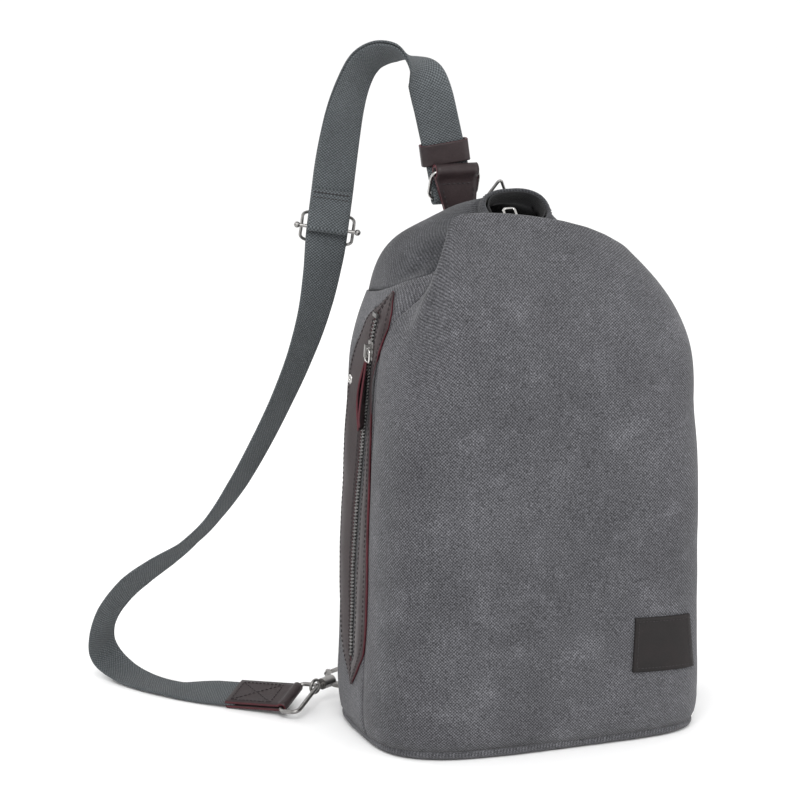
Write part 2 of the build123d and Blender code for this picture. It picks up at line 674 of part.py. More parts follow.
# ---------------------------------------------------------------- mouth closure
CATCH_X = -2.0
CATCH_BAR = Vector(CATCH_X, 41.5, 371)
CATCH_UP = Vector(0, -10.5, 20).normalized()
CATCH_HEIGHT = 21.0
CATCH_HALF_W = 10.5
CATCH_WIRE = 1.1


def closure_catch():
    """A triangular wire loop that leans on the back of the mouth."""
    top = CATCH_BAR + CATCH_UP * CATCH_HEIGHT
    side = Vector(CATCH_HALF_W, 0, 0)
    middle = CATCH_BAR - Vector(1, 0, 0)
    loop = wire_rod([middle, CATCH_BAR - side, top, CATCH_BAR + side, CATCH_BAR + Vector(1, 0, 0)],
                    [2.2, 1.6, 2.2], CATCH_WIRE)
    bar = Pos(*CATCH_BAR) * Rot(0, 90, 0) * Cylinder(CATCH_WIRE, 2.4)
    return loop + bar


def closure_catch_tab():
    side = Plane(origin=(0, CATCH_BAR.Y, CATCH_BAR.Z), x_dir=(0, 1, 0), z_dir=(1, 0, 0))
    tail = make_face(Polyline((-3.0, -0.5), (2.6, 1.7), (14, -16), (9, -18), close=True))
    profile = side * Circle(3.1) + side * tail
    profile -= side * Circle(CATCH_WIRE + 0.35)
    tab = extrude(profile, BIG / 2, both=True) & block((CATCH_X - 6.5, CATCH_X + 6.5), ALL, ALL)
    return tab - collar_solid(0) - hem_solid(0)


HOOK_X = -6.7
HOOK_HALF_W = 4.3
HOOK_BAR_Y = 1.5
HOOK_BAR_Z = 356.0
CLOSURE_WIRE = 1.0


def closure_hook():
    """A wire hook that stands inside the front of the mouth."""
    left, right = HOOK_X - HOOK_HALF_W, HOOK_X + HOOK_HALF_W
    y, z = HOOK_BAR_Y, HOOK_BAR_Z
    points = [(left, y, z), (left, y - 1, z + 12), (left, y + 4, z + 16.5), (right, y + 4, z + 16.5),
              (right, y - 1, z + 12), (right, y, z)]
    bar = Pos(HOOK_X, y, z) * Rot(0, 90, 0) * Cylinder(CLOSURE_WIRE, 2 * HOOK_HALF_W + 2)
    return wire_rod(points, [2.0, 2.0, 2.0, 2.0], CLOSURE_WIRE) + bar


def closure_hook_tab():
    side = Plane(origin=(0, HOOK_BAR_Y, HOOK_BAR_Z), x_dir=(0, 1, 0), z_dir=(1, 0, 0))
    profile = side * Circle(2.7)
    profile += side * make_face(Polyline((-2.6, 0), (1.6, -2.0), (-5, -12), (-8.5, -9), close=True))
    profile -= side * Circle(CLOSURE_WIRE + 0.3)
    tab = extrude(profile, BIG / 2, both=True) & block((HOOK_X - 2.9, HOOK_X + 2.9), ALL, ALL)
    return tab - mouth_hem - collar


# ---------------------------------------------------------------- bag pieces
above_base = block(ALL, ALL, (BASE_RIM_Z, BIG))
middle = block(ALL, (FRONT_SPLIT_Y, BACK_SPLIT_Y), (BASE_RIM_Z, BIG))


def label_patch():
    """A blank leather label sewn low on the front, round towards the right corner."""
    skin = body_solid(inset=-1.3) - outer_body
    return skin & block((60, 108), (-BIG, -30), (49, 90))


def foam_pad():
    """The back padding, between the back panel and the lining."""
    reach = block((-84, 84), (10, BIG), (24, 300))
    return (body_solid(inset=WALL + GAP) - body_solid(inset=WALL + GAP, back_inset=FOAM)) & reach


def lining():
    back_room = FOAM + 0.4
    outer = body_solid(inset=WALL + GAP, back_inset=back_room, bottom_z=6.4)
    inner = body_solid(inset=WALL + GAP + LINING, back_inset=back_room, bottom_z=7.2)
    return outer - inner - slot_cut


nodes = {
    "front_panel": (walls & above_base & block(ALL, (-BIG, FRONT_SPLIT_Y), ALL)) + tongue(),
    "left_gusset": (walls & middle & block((-BIG, 0), ALL, ALL)) - slot_cut,
    "right_gusset": walls & middle & block((0, BIG), ALL, ALL),
    "back_panel": walls & above_base & block(ALL, (BACK_SPLIT_Y, BIG), ALL),
    "base_panel": walls & block(ALL, ALL, (-1, BASE_RIM_Z)),
    "base_board": extrude(section((WALL + 0.2, HALF_W - 16, -HALF_D + 15, HALF_D - 11, 28)), 2.4),
    "back_foam_pad": foam_pad(),
    "lining": lining(),
    "collar_left": collar & block((-BIG, COLLAR_LEFT_X), ALL, ALL),
    "collar_right": collar & block((COLLAR_RIGHT_X, BIG), ALL, ALL),
    "collar_back": collar & block((COLLAR_LEFT_X, COLLAR_RIGHT_X), (12, BIG), ALL),
    "collar_front": collar & block((COLLAR_LEFT_X, COLLAR_RIGHT_X), (-BIG, 12), ALL),
    "mouth_hem": mouth_hem,
    "zip_welt": welt(),
    "zip_tape_front": zip_tape(1),
    "zip_tape_back": zip_tape(-1),
    "zip_teeth_front": zip_row(1),
    "zip_teeth_back": zip_row(-1),
    "zip_top_stop": zip_stop(CHAIN_ABOVE + 0.2, CHAIN_ABOVE + 3),
    "zip_bottom_stop": zip_stop(-CHAIN_LENGTH - 4, -CHAIN_LENGTH - 0.2),
    "zip_slider": zip_slider(),
    "zip_pull_ring": zip_pull_ring(),
    "zip_pull": zip_pull(),
    "side_pocket_bag": zip_block((-24, 20), (-196, -6), (-10.6, -9.0)),
    "earphone_eyelet": earphone_eyelet(),
    "label_patch": label_patch(),
    "closure_catch": closure_catch(),
    "closure_catch_tab": closure_catch_tab(),
    "closure_hook": closure_hook(),
    "closure_hook_tab": closure_hook_tab(),
    "top_anchor_tab": top_anchor_tab() - outer_body,
    "top_ring": top_ring(),
    "strap_keeper": strap_keeper(),
    "strap_long": strap_long,
    "strap_inner": inner_ribbon + strap_ring_loop() + sewn_loop(),
    "adjuster_frame": adjuster_frame(),
    "adjuster_bar": adjuster_bar(),
    "strap_end_leather": strap_end_leather(),
    "strap_end_ring": strap_end_ring(),
    "hook_swivel": hook_swivel(),
    "hook_body": hook_body(),
    "hook_gate": hook_gate(),
    "hook_gate_pin": hook_gate_pin(),
    "hook_gate_spring": hook_gate_spring(),
    "left_ring_tab": ring_tab(-1),
    "left_ring": side_ring(-1),
    "right_ring_tab": ring_tab(1),
    "right_ring": side_ring(1),
}

for name, shape in nodes.items():
    export_step(shape, "parts/" + name + ".step")

for name, solid, path, radii in (
    ("strap_long", strap_long, long_path, long_radii),
    ("strap_inner", inner_ribbon, inner_path, inner_radii),
):
    expected = WEB_WIDTH * WEB_THICK * path.length
    filled = round(solid.volume / expected, 3)
    print(name, "length", round(path.length), "mm, volume / (section x length)", filled)
    print("  radii", [round(r) for r in radii])
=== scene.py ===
"""Looks for the canvas sling bag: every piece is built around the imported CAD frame, in metres."""
from math import cos, exp, pi, radians, sin

import bpy
import numpy as np
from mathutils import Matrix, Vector, noise
from mathutils.bvhtree import BVHTree


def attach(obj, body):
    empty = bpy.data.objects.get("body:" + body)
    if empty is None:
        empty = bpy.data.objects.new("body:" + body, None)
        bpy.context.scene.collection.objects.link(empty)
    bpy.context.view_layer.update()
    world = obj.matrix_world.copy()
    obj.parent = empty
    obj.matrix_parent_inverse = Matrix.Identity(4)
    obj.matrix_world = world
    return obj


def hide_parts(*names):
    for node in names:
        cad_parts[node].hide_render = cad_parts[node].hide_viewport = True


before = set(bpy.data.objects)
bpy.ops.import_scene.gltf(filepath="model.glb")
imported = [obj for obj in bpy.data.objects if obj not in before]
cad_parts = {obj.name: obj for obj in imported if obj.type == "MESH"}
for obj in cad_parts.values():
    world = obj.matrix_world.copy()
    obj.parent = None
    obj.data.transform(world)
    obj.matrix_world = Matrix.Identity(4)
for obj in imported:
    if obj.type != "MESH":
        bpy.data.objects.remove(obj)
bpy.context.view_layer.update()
scene = bpy.context.scene
MM = 0.001
X = Vector((1, 0, 0))
Y = Vector((0, 1, 0))
Z = Vector((0, 0, 1))

# ---- camera
CAMERA_AZIMUTH = radians(-20.5)
CAMERA_ELEVATION = radians(13.0)
CAMERA_DISTANCE = 2.1
CAMERA_TARGET = Vector((-0.0895, 0.0, 0.2435))
CAMERA_LENS = 135.8


def aim(obj, place, direction):
    obj.location = place
    obj.rotation_mode = "QUATERNION"
    obj.rotation_quaternion = direction.to_track_quat("-Z", "Y")


def add_camera():
    data = bpy.data.cameras.new("camera")
    data.lens = CAMERA_LENS
    data.sensor_width = 36.0
    camera = bpy.data.objects.new("camera", data)
    scene.collection.objects.link(camera)
    level = cos(CAMERA_ELEVATION)
    back = Vector((sin(CAMERA_AZIMUTH) * level, -cos(CAMERA_AZIMUTH) * level, sin(CAMERA_ELEVATION)))
    aim(camera, CAMERA_TARGET + back * CAMERA_DISTANCE, -back)
    data.clip_start = 0.05
    data.clip_end = 50.0
    scene.camera = camera


add_camera()


# ---- small helpers
def outward_at(angle):
    """The level unit direction at this angle in degrees round the bag, from +X."""
    return Vector((cos(radians(angle)), sin(radians(angle)), 0))


def bell(value, middle, wide):
    """1 at the middle, falling off smoothly on both sides."""
    return exp(-((value - middle) / wide) ** 2)


def smooth_step(value):
    value = min(max(value, 0.0), 1.0)
    return value * value * (3 - 2 * value)


def read_table(table, place, column=1):
    """The value at a place between a table's rows, whose first column is the place."""
    return float(np.interp(place, [row[0] for row in table], [row[column] for row in table]))


def around(step, place):
    """A closed row of points: place(angle) for each step in degrees round the bag."""
    return [place(angle) for angle in range(0, 360, step)]


# ---- node materials
def new_material(name, settings=()):
    material = bpy.data.materials.new(name)
    material.use_nodes = True
    bsdf = material.node_tree.nodes["Principled BSDF"]
    for socket, value in settings:
        bsdf.inputs[socket].default_value = value
    return material, bsdf


def node(material, kind, inputs=(), **settings):
    """A new node; inputs holds (socket, value or output socket) pairs."""
    made = material.node_tree.nodes.new(kind)
    for key, value in settings.items():
        setattr(made, key, value)
    for socket, value in inputs:
        if isinstance(value, bpy.types.NodeSocket):
            material.node_tree.links.new(value, made.inputs[socket])
        else:
            made.inputs[socket].default_value = value
    return made


def math(material, operation, a, b=0.0):
    return node(material, "ShaderNodeMath", [(0, a), (1, b)], operation=operation).outputs[0]


def scaled(material, value, times, plus):
    return math(material, "ADD", math(material, "MULTIPLY", value, times), plus)


def noise_value(material, scale, detail=3.0, rough=0.55, vector=None):
    """Noise in the object's own space, in metres, where no other vector is given."""
    if vector is None:
        vector = node(material, "ShaderNodeTexCoord").outputs["Object"]
    made = node(material, "ShaderNodeTexNoise",
                [("Vector", vector), ("Scale", scale), ("Detail", detail), ("Roughness", rough)])
    return made.outputs["Fac"]


def ramp(material, value, stops):
    """A colour ramp through (place, colour) stops; a colour is (r, g, b), or one number for a grey."""
    made = node(material, "ShaderNodeValToRGB", [(0, value)])
    elements = made.color_ramp.elements
    while len(elements) < len(stops):
        elements.new(0.5)
    for element, (place, colour) in zip(elements, stops):
        element.position = place
        element.color = (colour, colour, colour, 1.0) if isinstance(colour, float) else (*colour, 1.0)
    return made.outputs[0]


def mix_colour(material, share, a, b, blend="MIX"):
    made = node(material, "ShaderNodeMix", data_type="RGBA", blend_type=blend)
    for socket, value in ((0, share), (6, a), (7, b)):
        if isinstance(value, bpy.types.NodeSocket):
            material.node_tree.links.new(value, made.inputs[socket])
        elif isinstance(value, tuple):
            made.inputs[socket].default_value = (*value, 1.0)
        else:
            made.inputs[socket].default_value = value
    return made.outputs[2]


def multiplied(material, colour, value, stops):
    """A colour multiplied by the ramp over a value."""
    return mix_colour(material, 1.0, colour, ramp(material, value, stops), "MULTIPLY")


def bump(material, height, distance, strength=1.0, normal=None):
    inputs = [("Height", height), ("Distance", distance), ("Strength", strength)]
    if normal is not None:
        inputs.append(("Normal", normal))
    return node(material, "ShaderNodeBump", inputs).outputs[0]


def join(material, output, bsdf, socket):
    material.node_tree.links.new(output, bsdf.inputs[socket])


THREAD_WOBBLE = 1.6       # how unevenly the threads run, in radians of the weave


def weave_height(material, pitch_u, pitch_v):
    """Threads going over and under each other, from the piece's own cloth map."""
    uv = node(material, "ShaderNodeUVMap", uv_map="cloth").outputs[0]
    wobble = noise_value(material, 260.0, 2.0)
    split = node(material, "ShaderNodeSeparateXYZ", [(0, uv)])
    shift = math(material, "MULTIPLY", math(material, "SUBTRACT", wobble, 0.5), THREAD_WOBBLE)
    across = math(material, "ADD", math(material, "MULTIPLY", split.outputs[0], 2 * pi / pitch_u), shift)
    along = math(material, "ADD", math(material, "MULTIPLY", split.outputs[1], 2 * pi / pitch_v), shift)
    product = math(material, "MULTIPLY", math(material, "SINE", across), math(material, "SINE", along))
    return scaled(material, product, 0.5, 0.5)


def canvas(name, dark, light, pitch=0.0023, worn=1.0):
    """Washed cotton canvas: plain weave, faded blotches, pale scuffs, no shine."""
    material, bsdf = new_material(
        name, [("Specular IOR Level", 0.18), ("Sheen Weight", 0.12), ("Sheen Roughness", 0.6)])
    weave = weave_height(material, pitch, pitch)
    faded = noise_value(material, 11.0, 6.0, 0.62)
    streak = noise_value(material, 42.0, 5.0, 0.7)
    fine = noise_value(material, 900.0, 2.0, 0.6)
    base = ramp(material, faded, [(0.30, dark), (0.70, light)])
    pale = tuple(1.32 * c for c in light)
    scuff = ramp(material, streak, [(0.53, 0.0), (0.74, worn * 0.75)])
    base = mix_colour(material, scuff, base, pale)
    base = multiplied(material, base, fine, [(0.30, (0.40, 0.40, 0.41)), (0.70, 1.58)])
    base = multiplied(material, base, weave, [(0.10, (0.36, 0.36, 0.37)), (0.85, 1.52)])
    join(material, base, bsdf, "Base Color")
    join(material, scaled(material, streak, 0.12, 0.84), bsdf, "Roughness")
    normal = bump(material, weave, 0.00035, 0.8)
    normal = bump(material, faded, 0.0025, 0.35, normal)
    join(material, bump(material, streak, 0.0012, 0.35, normal), bsdf, "Normal")
    return material


def webbing(name):
    """Heavy cotton webbing: ribs across the band, staggered from column to column."""
    material, bsdf = new_material(name, [("Specular IOR Level", 0.22), ("Sheen Weight", 0.08)])
    weave = weave_height(material, 0.0026, 0.0021)
    fine = noise_value(material, 1100.0, 2.0)
    tint = noise_value(material, 25.0, 3.0)
    base = ramp(material, weave, [(0.08, (0.036, 0.041, 0.044)), (0.5, (0.080, 0.089, 0.095)),
                                  (0.95, (0.140, 0.154, 0.162))])
    base = multiplied(material, base, fine, [(0.3, 0.72), (0.7, 1.25)])
    join(material, multiplied(material, base, tint, [(0.3, 0.88), (0.7, 1.1)]), bsdf, "Base Color")
    join(material, scaled(material, fine, 0.15, 0.78), bsdf, "Roughness")
    join(material, bump(material, weave, 0.0007, 1.0), bsdf, "Normal")
    return material


def leather(name, dark, light, rough=0.42):
    """Smooth bonded leather: fine pebble grain, soft gloss, a little lighter where it is rubbed."""
    material, bsdf = new_material(name, [("Specular IOR Level", 0.3)])
    vector = node(material, "ShaderNodeTexCoord").outputs["Object"]
    cells = node(material, "ShaderNodeTexVoronoi", [("Vector", vector), ("Scale", 1500.0)])
    grain = cells.outputs["Distance"]
    rub = noise_value(material, 70.0, 5.0, 0.6)
    fine = noise_value(material, 700.0, 3.0)
    base = ramp(material, rub, [(0.32, dark), (0.70, light)])
    join(material, multiplied(material, base, fine, [(0.3, 0.86), (0.7, 1.12)]), bsdf, "Base Color")
    join(material, scaled(material, rub, 0.22, rough), bsdf, "Roughness")
    normal = bump(material, grain, 0.00012, 0.5)
    join(material, bump(material, rub, 0.0006, 0.4, normal), bsdf, "Normal")
    return material


def metal(name, dark, light, rough):
    """Plated metal with faint scratches and a little tarnish."""
    material, bsdf = new_material(name, [("Metallic", 1.0)])
    tarnish = noise_value(material, 160.0, 4.0)
    scratch = noise_value(material, 1400.0, 2.0)
    join(material, ramp(material, tarnish, [(0.3, dark), (0.7, light)]), bsdf, "Base Color")
    join(material, scaled(material, scratch, 0.16, rough), bsdf, "Roughness")
    join(material, bump(material, scratch, 0.00003, 0.35), bsdf, "Normal")
    return material


def fuzz(name, dark, light, scale, rough=0.9):
    """A plain inner material, such as foam, board or thread, with its own grain."""
    material, bsdf = new_material(name)
    grain = noise_value(material, scale, 4.0, 0.65)
    join(material, ramp(material, grain, [(0.3, dark), (0.7, light)]), bsdf, "Base Color")
    join(material, scaled(material, grain, 0.1, rough - 0.05), bsdf, "Roughness")
    join(material, bump(material, grain, 0.0003, 0.5), bsdf, "Normal")
    return material


CANVAS = canvas("washed_canvas", (0.053, 0.053, 0.058), (0.088, 0.088, 0.095))
# The collar and the mouth's hem use a darker copy of the canvas. This is painted shade, standing in for the
# shadow in the collar's recess behind the front panel's fold.
COLLAR_CANVAS_PAINTED_SHADE = canvas("collar_canvas_painted_shade", (0.036, 0.037, 0.041), (0.068, 0.069, 0.075))
BLACK_CLOTH = canvas("black_lining", (0.006, 0.006, 0.007), (0.011, 0.011, 0.012), 0.0006, 0.1)
TAPE_CLOTH = canvas("zip_tape_weave", (0.030, 0.030, 0.032), (0.050, 0.050, 0.053), 0.0009, 0.2)
WEBBING = webbing("slate_webbing")
LEATHER = leather("brown_leather", (0.022, 0.014, 0.015), (0.034, 0.023, 0.024), 0.34)
LABEL_LEATHER = leather("label_leather", (0.007, 0.0055, 0.0055), (0.0125, 0.0092, 0.0092), 0.5)
EDGE_PAINT = leather("burgundy_edge", (0.052, 0.008, 0.012), (0.092, 0.016, 0.023), 0.38)
THREAD = fuzz("dark_thread", (0.010, 0.008, 0.009), (0.030, 0.024, 0.026), 2500.0, 0.75)
GREY_THREAD = fuzz("grey_thread", (0.055, 0.055, 0.06), (0.11, 0.11, 0.115), 2500.0, 0.85)
FOAM = fuzz("pale_foam", (0.30, 0.30, 0.29), (0.42, 0.42, 0.40), 420.0)
BOARD = fuzz("black_board", (0.012, 0.012, 0.012), (0.026, 0.026, 0.026), 300.0)
GUNMETAL = metal("gunmetal", (0.21, 0.205, 0.20), (0.34, 0.33, 0.32), 0.24)
NICKEL = metal("nickel", (0.42, 0.41, 0.40), (0.62, 0.61, 0.59), 0.16)
ZIP_METAL = metal("dark_zip_metal", (0.10, 0.10, 0.10), (0.22, 0.215, 0.21), 0.30)


# ---- mesh helpers
def finish_piece(obj, body, replaced=()):
    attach(obj, body)
    if replaced:
        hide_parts(*replaced)
    return obj


def cloth_map(mesh, rows, closed):
    """A UV map in metres: u along each row from its middle, v from row to row up the middle column."""
    count = len(rows[0])
    steps = count + 1 if closed else count
    middle = 0 if closed else count // 2
    u = np.zeros((len(rows), steps))
    for i, row in enumerate(rows):
        for j in range(1, steps):
            u[i, j] = u[i, j - 1] + (row[j % count] - row[j - 1]).length
        u[i] -= u[i, middle]
    v = [0.0]
    for a, b in zip(rows, rows[1:]):
        v.append(v[-1] + (b[middle] - a[middle]).length)
    layer = mesh.uv_layers.new(name="cloth")
    for polygon in mesh.polygons:
        corners = [divmod(k, count) for k in polygon.vertices]
        wraps = closed and {0, count - 1} <= {j for _, j in corners}
        for loop, (i, j) in zip(polygon.loop_indices, corners):
            column = count if wraps and j == 0 else j
            layer.data[loop].uv = (u[i, column] * MM, v[i] * MM)


def mesh_object(name, vertices, faces, materials):
    mesh = bpy.data.meshes.new(name)
    mesh.from_pydata([Vector(p) * MM for p in vertices], [], faces)
    mesh.validate()
    for polygon in mesh.polygons:
        polygon.use_smooth = True
    for material in materials:
        mesh.materials.append(material)
    obj = bpy.data.objects.new(name, mesh)
    scene.collection.objects.link(obj)
    return obj


def grid_object(name, rows, materials, closed=False, caps=False):
    """A sheet, or a tube where closed, through rows of points in millimetres."""
    rows = [[Vector(p) for p in row] for row in rows]
    count = len(rows[0])
    faces = []
    for i in range(len(rows) - 1):
        for j in range(count if closed else count - 1):
            k = (j + 1) % count
            faces.append((i * count + j, i * count + k, (i + 1) * count + k, (i + 1) * count + j))
    if caps:
        faces.append(tuple(reversed(range(count))))
        faces.append(tuple(range((len(rows) - 1) * count, len(rows) * count)))
    obj = mesh_object(name, [p for row in rows for p in row], faces, materials)
    cloth_map(obj.data, rows, closed)
    return obj


def thicken(obj, thickness, offset=-1.0, rim=0):
    """Give a sheet its thickness; its cut edge takes the material this many slots on."""
    modifier = obj.modifiers.new("thickness", "SOLIDIFY")
    modifier.thickness = thickness * MM
    modifier.offset = offset
    modifier.use_even_offset = False
    modifier.material_offset_rim = rim
    return obj


def polyline_place(points, distance):
    """The point at a distance along a polyline, the direction there and which run it is on."""
    for i, (a, b) in enumerate(zip(points, points[1:])):
        run = (b - a).length
        if distance <= run or i == len(points) - 2:
            return a.lerp(b, min(distance / max(run, 1e-9), 1.0)), (b - a).normalized(), i
        distance -= run


# One stitch: share of its length, its thickness there and how far it stands out.
STITCH_PROFILE = [
    (0.0, 0.35, -0.35), (0.18, 0.9, 0.05), (0.5, 1.0, 0.3), (0.82, 0.9, 0.05), (1.0, 0.35, -0.35),
]
STITCH_SIDES = 6


def stitch_object(name, rows, body, pitch=3.6, length=2.6, radius=0.34, material=None):
    """Rows of thread stitches; each row is its points and the directions out of the surface."""
    vertices = []
    faces = []
    sides = STITCH_SIDES
    for points, outs in rows:
        total = sum((b - a).length for a, b in zip(points, points[1:]))
        for k in range(int(total / pitch)):
            start = k * pitch + (pitch - length) / 2
            first = len(vertices)
            for share, wide, lift in STITCH_PROFILE:
                place, along, i = polyline_place(points, start + share * length)
                out = outs[i]
                across = along.cross(out).normalized()
                for s in range(sides):
                    turn = 2 * pi * s / sides
                    ring = across * cos(turn) + out * sin(turn)
                    vertices.append(place + out * lift * radius * 1.4 + ring * radius * wide)
            for r in range(len(STITCH_PROFILE) - 1):
                low = first + r * sides
                for s in range(sides):
                    t = (s + 1) % sides
                    faces.append((low + s, low + t, low + sides + t, low + sides + s))
            faces.append(tuple(first + s for s in reversed(range(sides))))
            faces.append(tuple(first + (len(STITCH_PROFILE) - 1) * sides + s for s in range(sides)))
    obj = mesh_object(name, vertices, faces, [material or THREAD])
    return finish_piece(obj, body)


# ---- strap: route, cords
WEB_WIDTH = 30.0
WEB_THICK = 1.6
LAYER_STEP = 2.8
SLIDER_INDEX = 14
# The webbing's route from the top ring to the strap's end, and the direction of its width, in millimetres.
STRAP = [
    ((-21.2, 76.6, 377), (1, -0.04, 0.05)), ((-24, 78, 395), (1, -0.12, 0.10)),
    ((-30, 78, 419), (1, -0.28, 0.05)), ((-35, 78.5, 442), (1, -0.25, 0)),
    ((-39, 81, 459), (1, 0.10, 0)), ((-45.5, 85, 469), (0.85, 0.55, -0.25)),
    ((-56.5, 92, 476), (0.60, 0.72, -0.50)), ((-68.5, 99, 475.5), (0.60, 0.65, -0.60)),
    ((-79, 104.5, 468), (0.75, 0.50, -0.55)), ((-86, 108, 452), (0.87, 0.40, -0.40)),
    ((-91, 110, 434), (0.93, 0.22, -0.25)), ((-94.5, 111, 414), (0.96, 0.05, -0.15)),
    ((-98, 111, 392), (0.96, -0.15, -0.15)), ((-101, 110, 370), (0.93, -0.30, -0.20)),
    ((-105, 108, 348), (0.92, -0.34, -0.22)), ((-109, 106, 321), (0.96, 0.08, -0.15)),
    ((-116, 105, 288), (0.95, 0.35, -0.18)), ((-127, 106, 255), (0.85, 0.55, -0.30)),
    ((-141, 109, 222), (0.75, 0.65, -0.35)), ((-156, 114, 190), (0.70, 0.70, -0.40)),
    ((-171, 121, 160), (0.60, 0.75, -0.45)), ((-187, 130, 133), (0.50, 0.85, -0.40)),
    ((-203, 142, 113), (0.45, 0.90, -0.45)), ((-220, 154, 98), (0.50, 0.80, -0.60)),
    ((-238, 168, 81), (0.60, 0.70, -0.60)), ((-252, 182, 59), (0.75, 0.65, -0.35)),
    ((-257, 195, 35), (0.80, 0.60, 0.05)), ((-253, 203, 16), (0.80, 0.55, 0.20)),
    ((-242, 190, 4.5), (0.85, 0.50, 0.05)), ((-231, 167, 2.0), (0.90, 0.45, 0)),
    ((-217, 144, 2.6), (0.85, 0.55, 0)), ((-198, 121, 5.3), (0.69, 0.67, 0.27)),
    ((-176, 98.5, 7.8), (0.69, 0.67, 0.27)),
]
route_points = [Vector(point) for point, _ in STRAP]
route_widths = [Vector(width).normalized() for _, width in STRAP]


def nurbs_line(points):
    """The smooth line through a route's control points, as Blender draws it, in millimetres."""
    curve = bpy.data.curves.new("route", "CURVE")
    curve.dimensions = "3D"
    curve.resolution_u = 12
    spline = curve.splines.new("NURBS")
    spline.points.add(len(points) - 1)
    for control, point in zip(spline.points, points):
        control.co = (*(point * MM), 1.0)
    spline.order_u = 3
    spline.use_endpoint_u = True
    holder = bpy.data.objects.new("route", curve)
    scene.collection.objects.link(holder)
    mesh = bpy.data.meshes.new_from_object(holder)
    line = [v.co / MM for v in mesh.vertices]
    bpy.data.objects.remove(holder)
    bpy.data.curves.remove(curve)
    bpy.data.meshes.remove(mesh)
    return line


def spread_widths(widths, count):
    """The control points' width directions, spread along the smooth line."""
    last = len(widths) - 2
    places = [0.0] + [i - 0.5 for i in range(1, len(widths) - 1)] + [float(last)]
    where = np.linspace(0, last, count)
    parts = [np.interp(where, places, [w[axis] for w in widths]) for axis in range(3)]
    return [Vector(values).normalized() for values in zip(*parts)]


def band_frames(line, widths):
    """At each point of a line: the point, the way along, across and out of the band."""
    frames = []
    for i, point in enumerate(line):
        along = (line[min(i + 1, len(line) - 1)] - line[max(i - 1, 0)]).normalized()
        across = (widths[i] - along * widths[i].dot(along)).normalized()
        frames.append((point, along, across, along.cross(across)))
    return frames


def band_section(width, thick, lanes=11):
    """A flat band's outline: (across, out) pairs with rounded selvedges."""
    half = width / 2 - thick * 0.4
    top = [(x, thick / 2) for x in np.linspace(-half, half, lanes)]
    low = [(x, -thick / 2) for x in np.linspace(half, -half, lanes)]
    return top + [(width / 2, 0)] + low + [(-width / 2, 0)]


def band(name, frames, width, thick, materials):
    section = band_section(width, thick)
    rows = [[p + across * x + out * y for x, y in section] for p, _, across, out in frames]
    return grid_object(name, rows, materials, closed=True, caps=True)


def inner_points():
    """The doubled stretch's inner layer lies one layer step inside the arc."""
    points = []
    for i in range(SLIDER_INDEX + 1):
        before = route_points[max(i - 1, 0)]
        after = route_points[i + 1]
        inward = (after - before).cross(route_widths[i]).normalized()
        points.append(route_points[i] + inward * LAYER_STEP)
    return points


long_line = nurbs_line(route_points)
long_frames = band_frames(long_line, spread_widths(route_widths, len(long_line)))
inner_line = nurbs_line(inner_points())
inner_frames = band_frames(inner_line, spread_widths(route_widths[:SLIDER_INDEX + 1], len(inner_line)))


def line_length(line):
    return sum((b - a).length for a, b in zip(line, line[1:]))


strap_long = band("strap_long_webbing", long_frames, WEB_WIDTH, WEB_THICK, [WEBBING])
finish_piece(strap_long, "root", ["strap_long"])
strap_inner = band("strap_inner_webbing", inner_frames, WEB_WIDTH, WEB_THICK, [WEBBING])
finish_piece(strap_inner, "root", ["strap_inner"])


# ---- bag skin
# Height, half width, front y, back y of the body's cross-sections, in millimetres.
LEVELS = [
    (0, 113.0, -71.0, 76.0), (9, 120.0, -78.5, 80.0), (30, 120.5, -80.5, 80.0), (110, 119.0, -81.5, 78.5),
    (200, 116.0, -78.0, 74.5), (240, 113.5, -73.5, 72.0),
]
BASE_SEAM_Z = 6.4
EASE_Z = 240.0            # above this the sides ease in to the uneven top edge
LEFT_SWELL = 2.5          # the side with the zip is fuller
CORNER_POWER = 5.5        # how square the corners of the cross-section are: high is square
LEFT_FRONT_POWER = 3.3
LEFT_BACK_POWER = 4.2
# The top edge of the walls: angle round the bag from +X, then the point, in millimetres.
TOP_EDGE = [
    (0, 96, 12, 319), (15, 97, 30, 315), (30, 90, 52, 312), (40, 75, 64, 311), (60, 38, 67, 310),
    (90, 0, 67.5, 310), (120, -38, 67, 310), (140, -75, 64, 314), (150, -95, 54, 312), (165, -102, 31, 316),
    (180, -103, 5, 321), (190, -100, -10, 326), (199, -93, -22, 332), (206, -85, -35, 337),
    (210, -79.5, -43, 341), (213, -76, -45, 349), (216, -73.5, -44, 359), (219, -70.5, -42, 368),
    (223, -66.5, -39, 375), (228, -60, -36, 377),
    (240, -42, -33, 376.5), (255, -22, -31, 374.5), (270, -3, -30, 371.5), (290, 20, -29, 367),
    (305, 40, -27, 361), (315, 55, -25, 354.5), (325, 70, -22, 346), (335, 82, -15, 336),
    (345, 91, -4, 327),
]


LEVEL_REACH = 12          # millimetres each way over which the cross-sections are averaged


def level_table():
    """The cross-sections at each millimetre of height, with their corners rounded off."""
    span = 2 * LEVEL_REACH + 1
    heights = np.arange(0, EASE_Z + 1)
    columns = []
    for column in range(1, 4):
        values = np.interp(heights, [row[0] for row in LEVELS], [row[column] for row in LEVELS])
        padded = np.pad(values, LEVEL_REACH, mode="edge")
        smoothed = np.convolve(padded, np.ones(span) / span, "valid")
        keep = np.clip(heights / 30.0, 0, 1)
        columns.append(values * (1 - keep) + smoothed * keep)
    return columns


def edge_table():
    """The top edge at each degree, smoothed over a few degrees."""
    angles = np.arange(360)
    known = [row[0] for row in TOP_EDGE] + [360]
    columns = []
    for column in range(1, 4):
        values = [row[column] for row in TOP_EDGE] + [TOP_EDGE[0][column]]
        values = np.interp(angles, known, values)
        kernel = np.array([1, 2, 3, 4, 3, 2, 1]) / 16.0
        wrapped = np.pad(values, 3, mode="wrap")
        columns.append(np.convolve(wrapped, kernel, "valid"))
    return columns


level_columns = level_table()
edge_columns = edge_table()


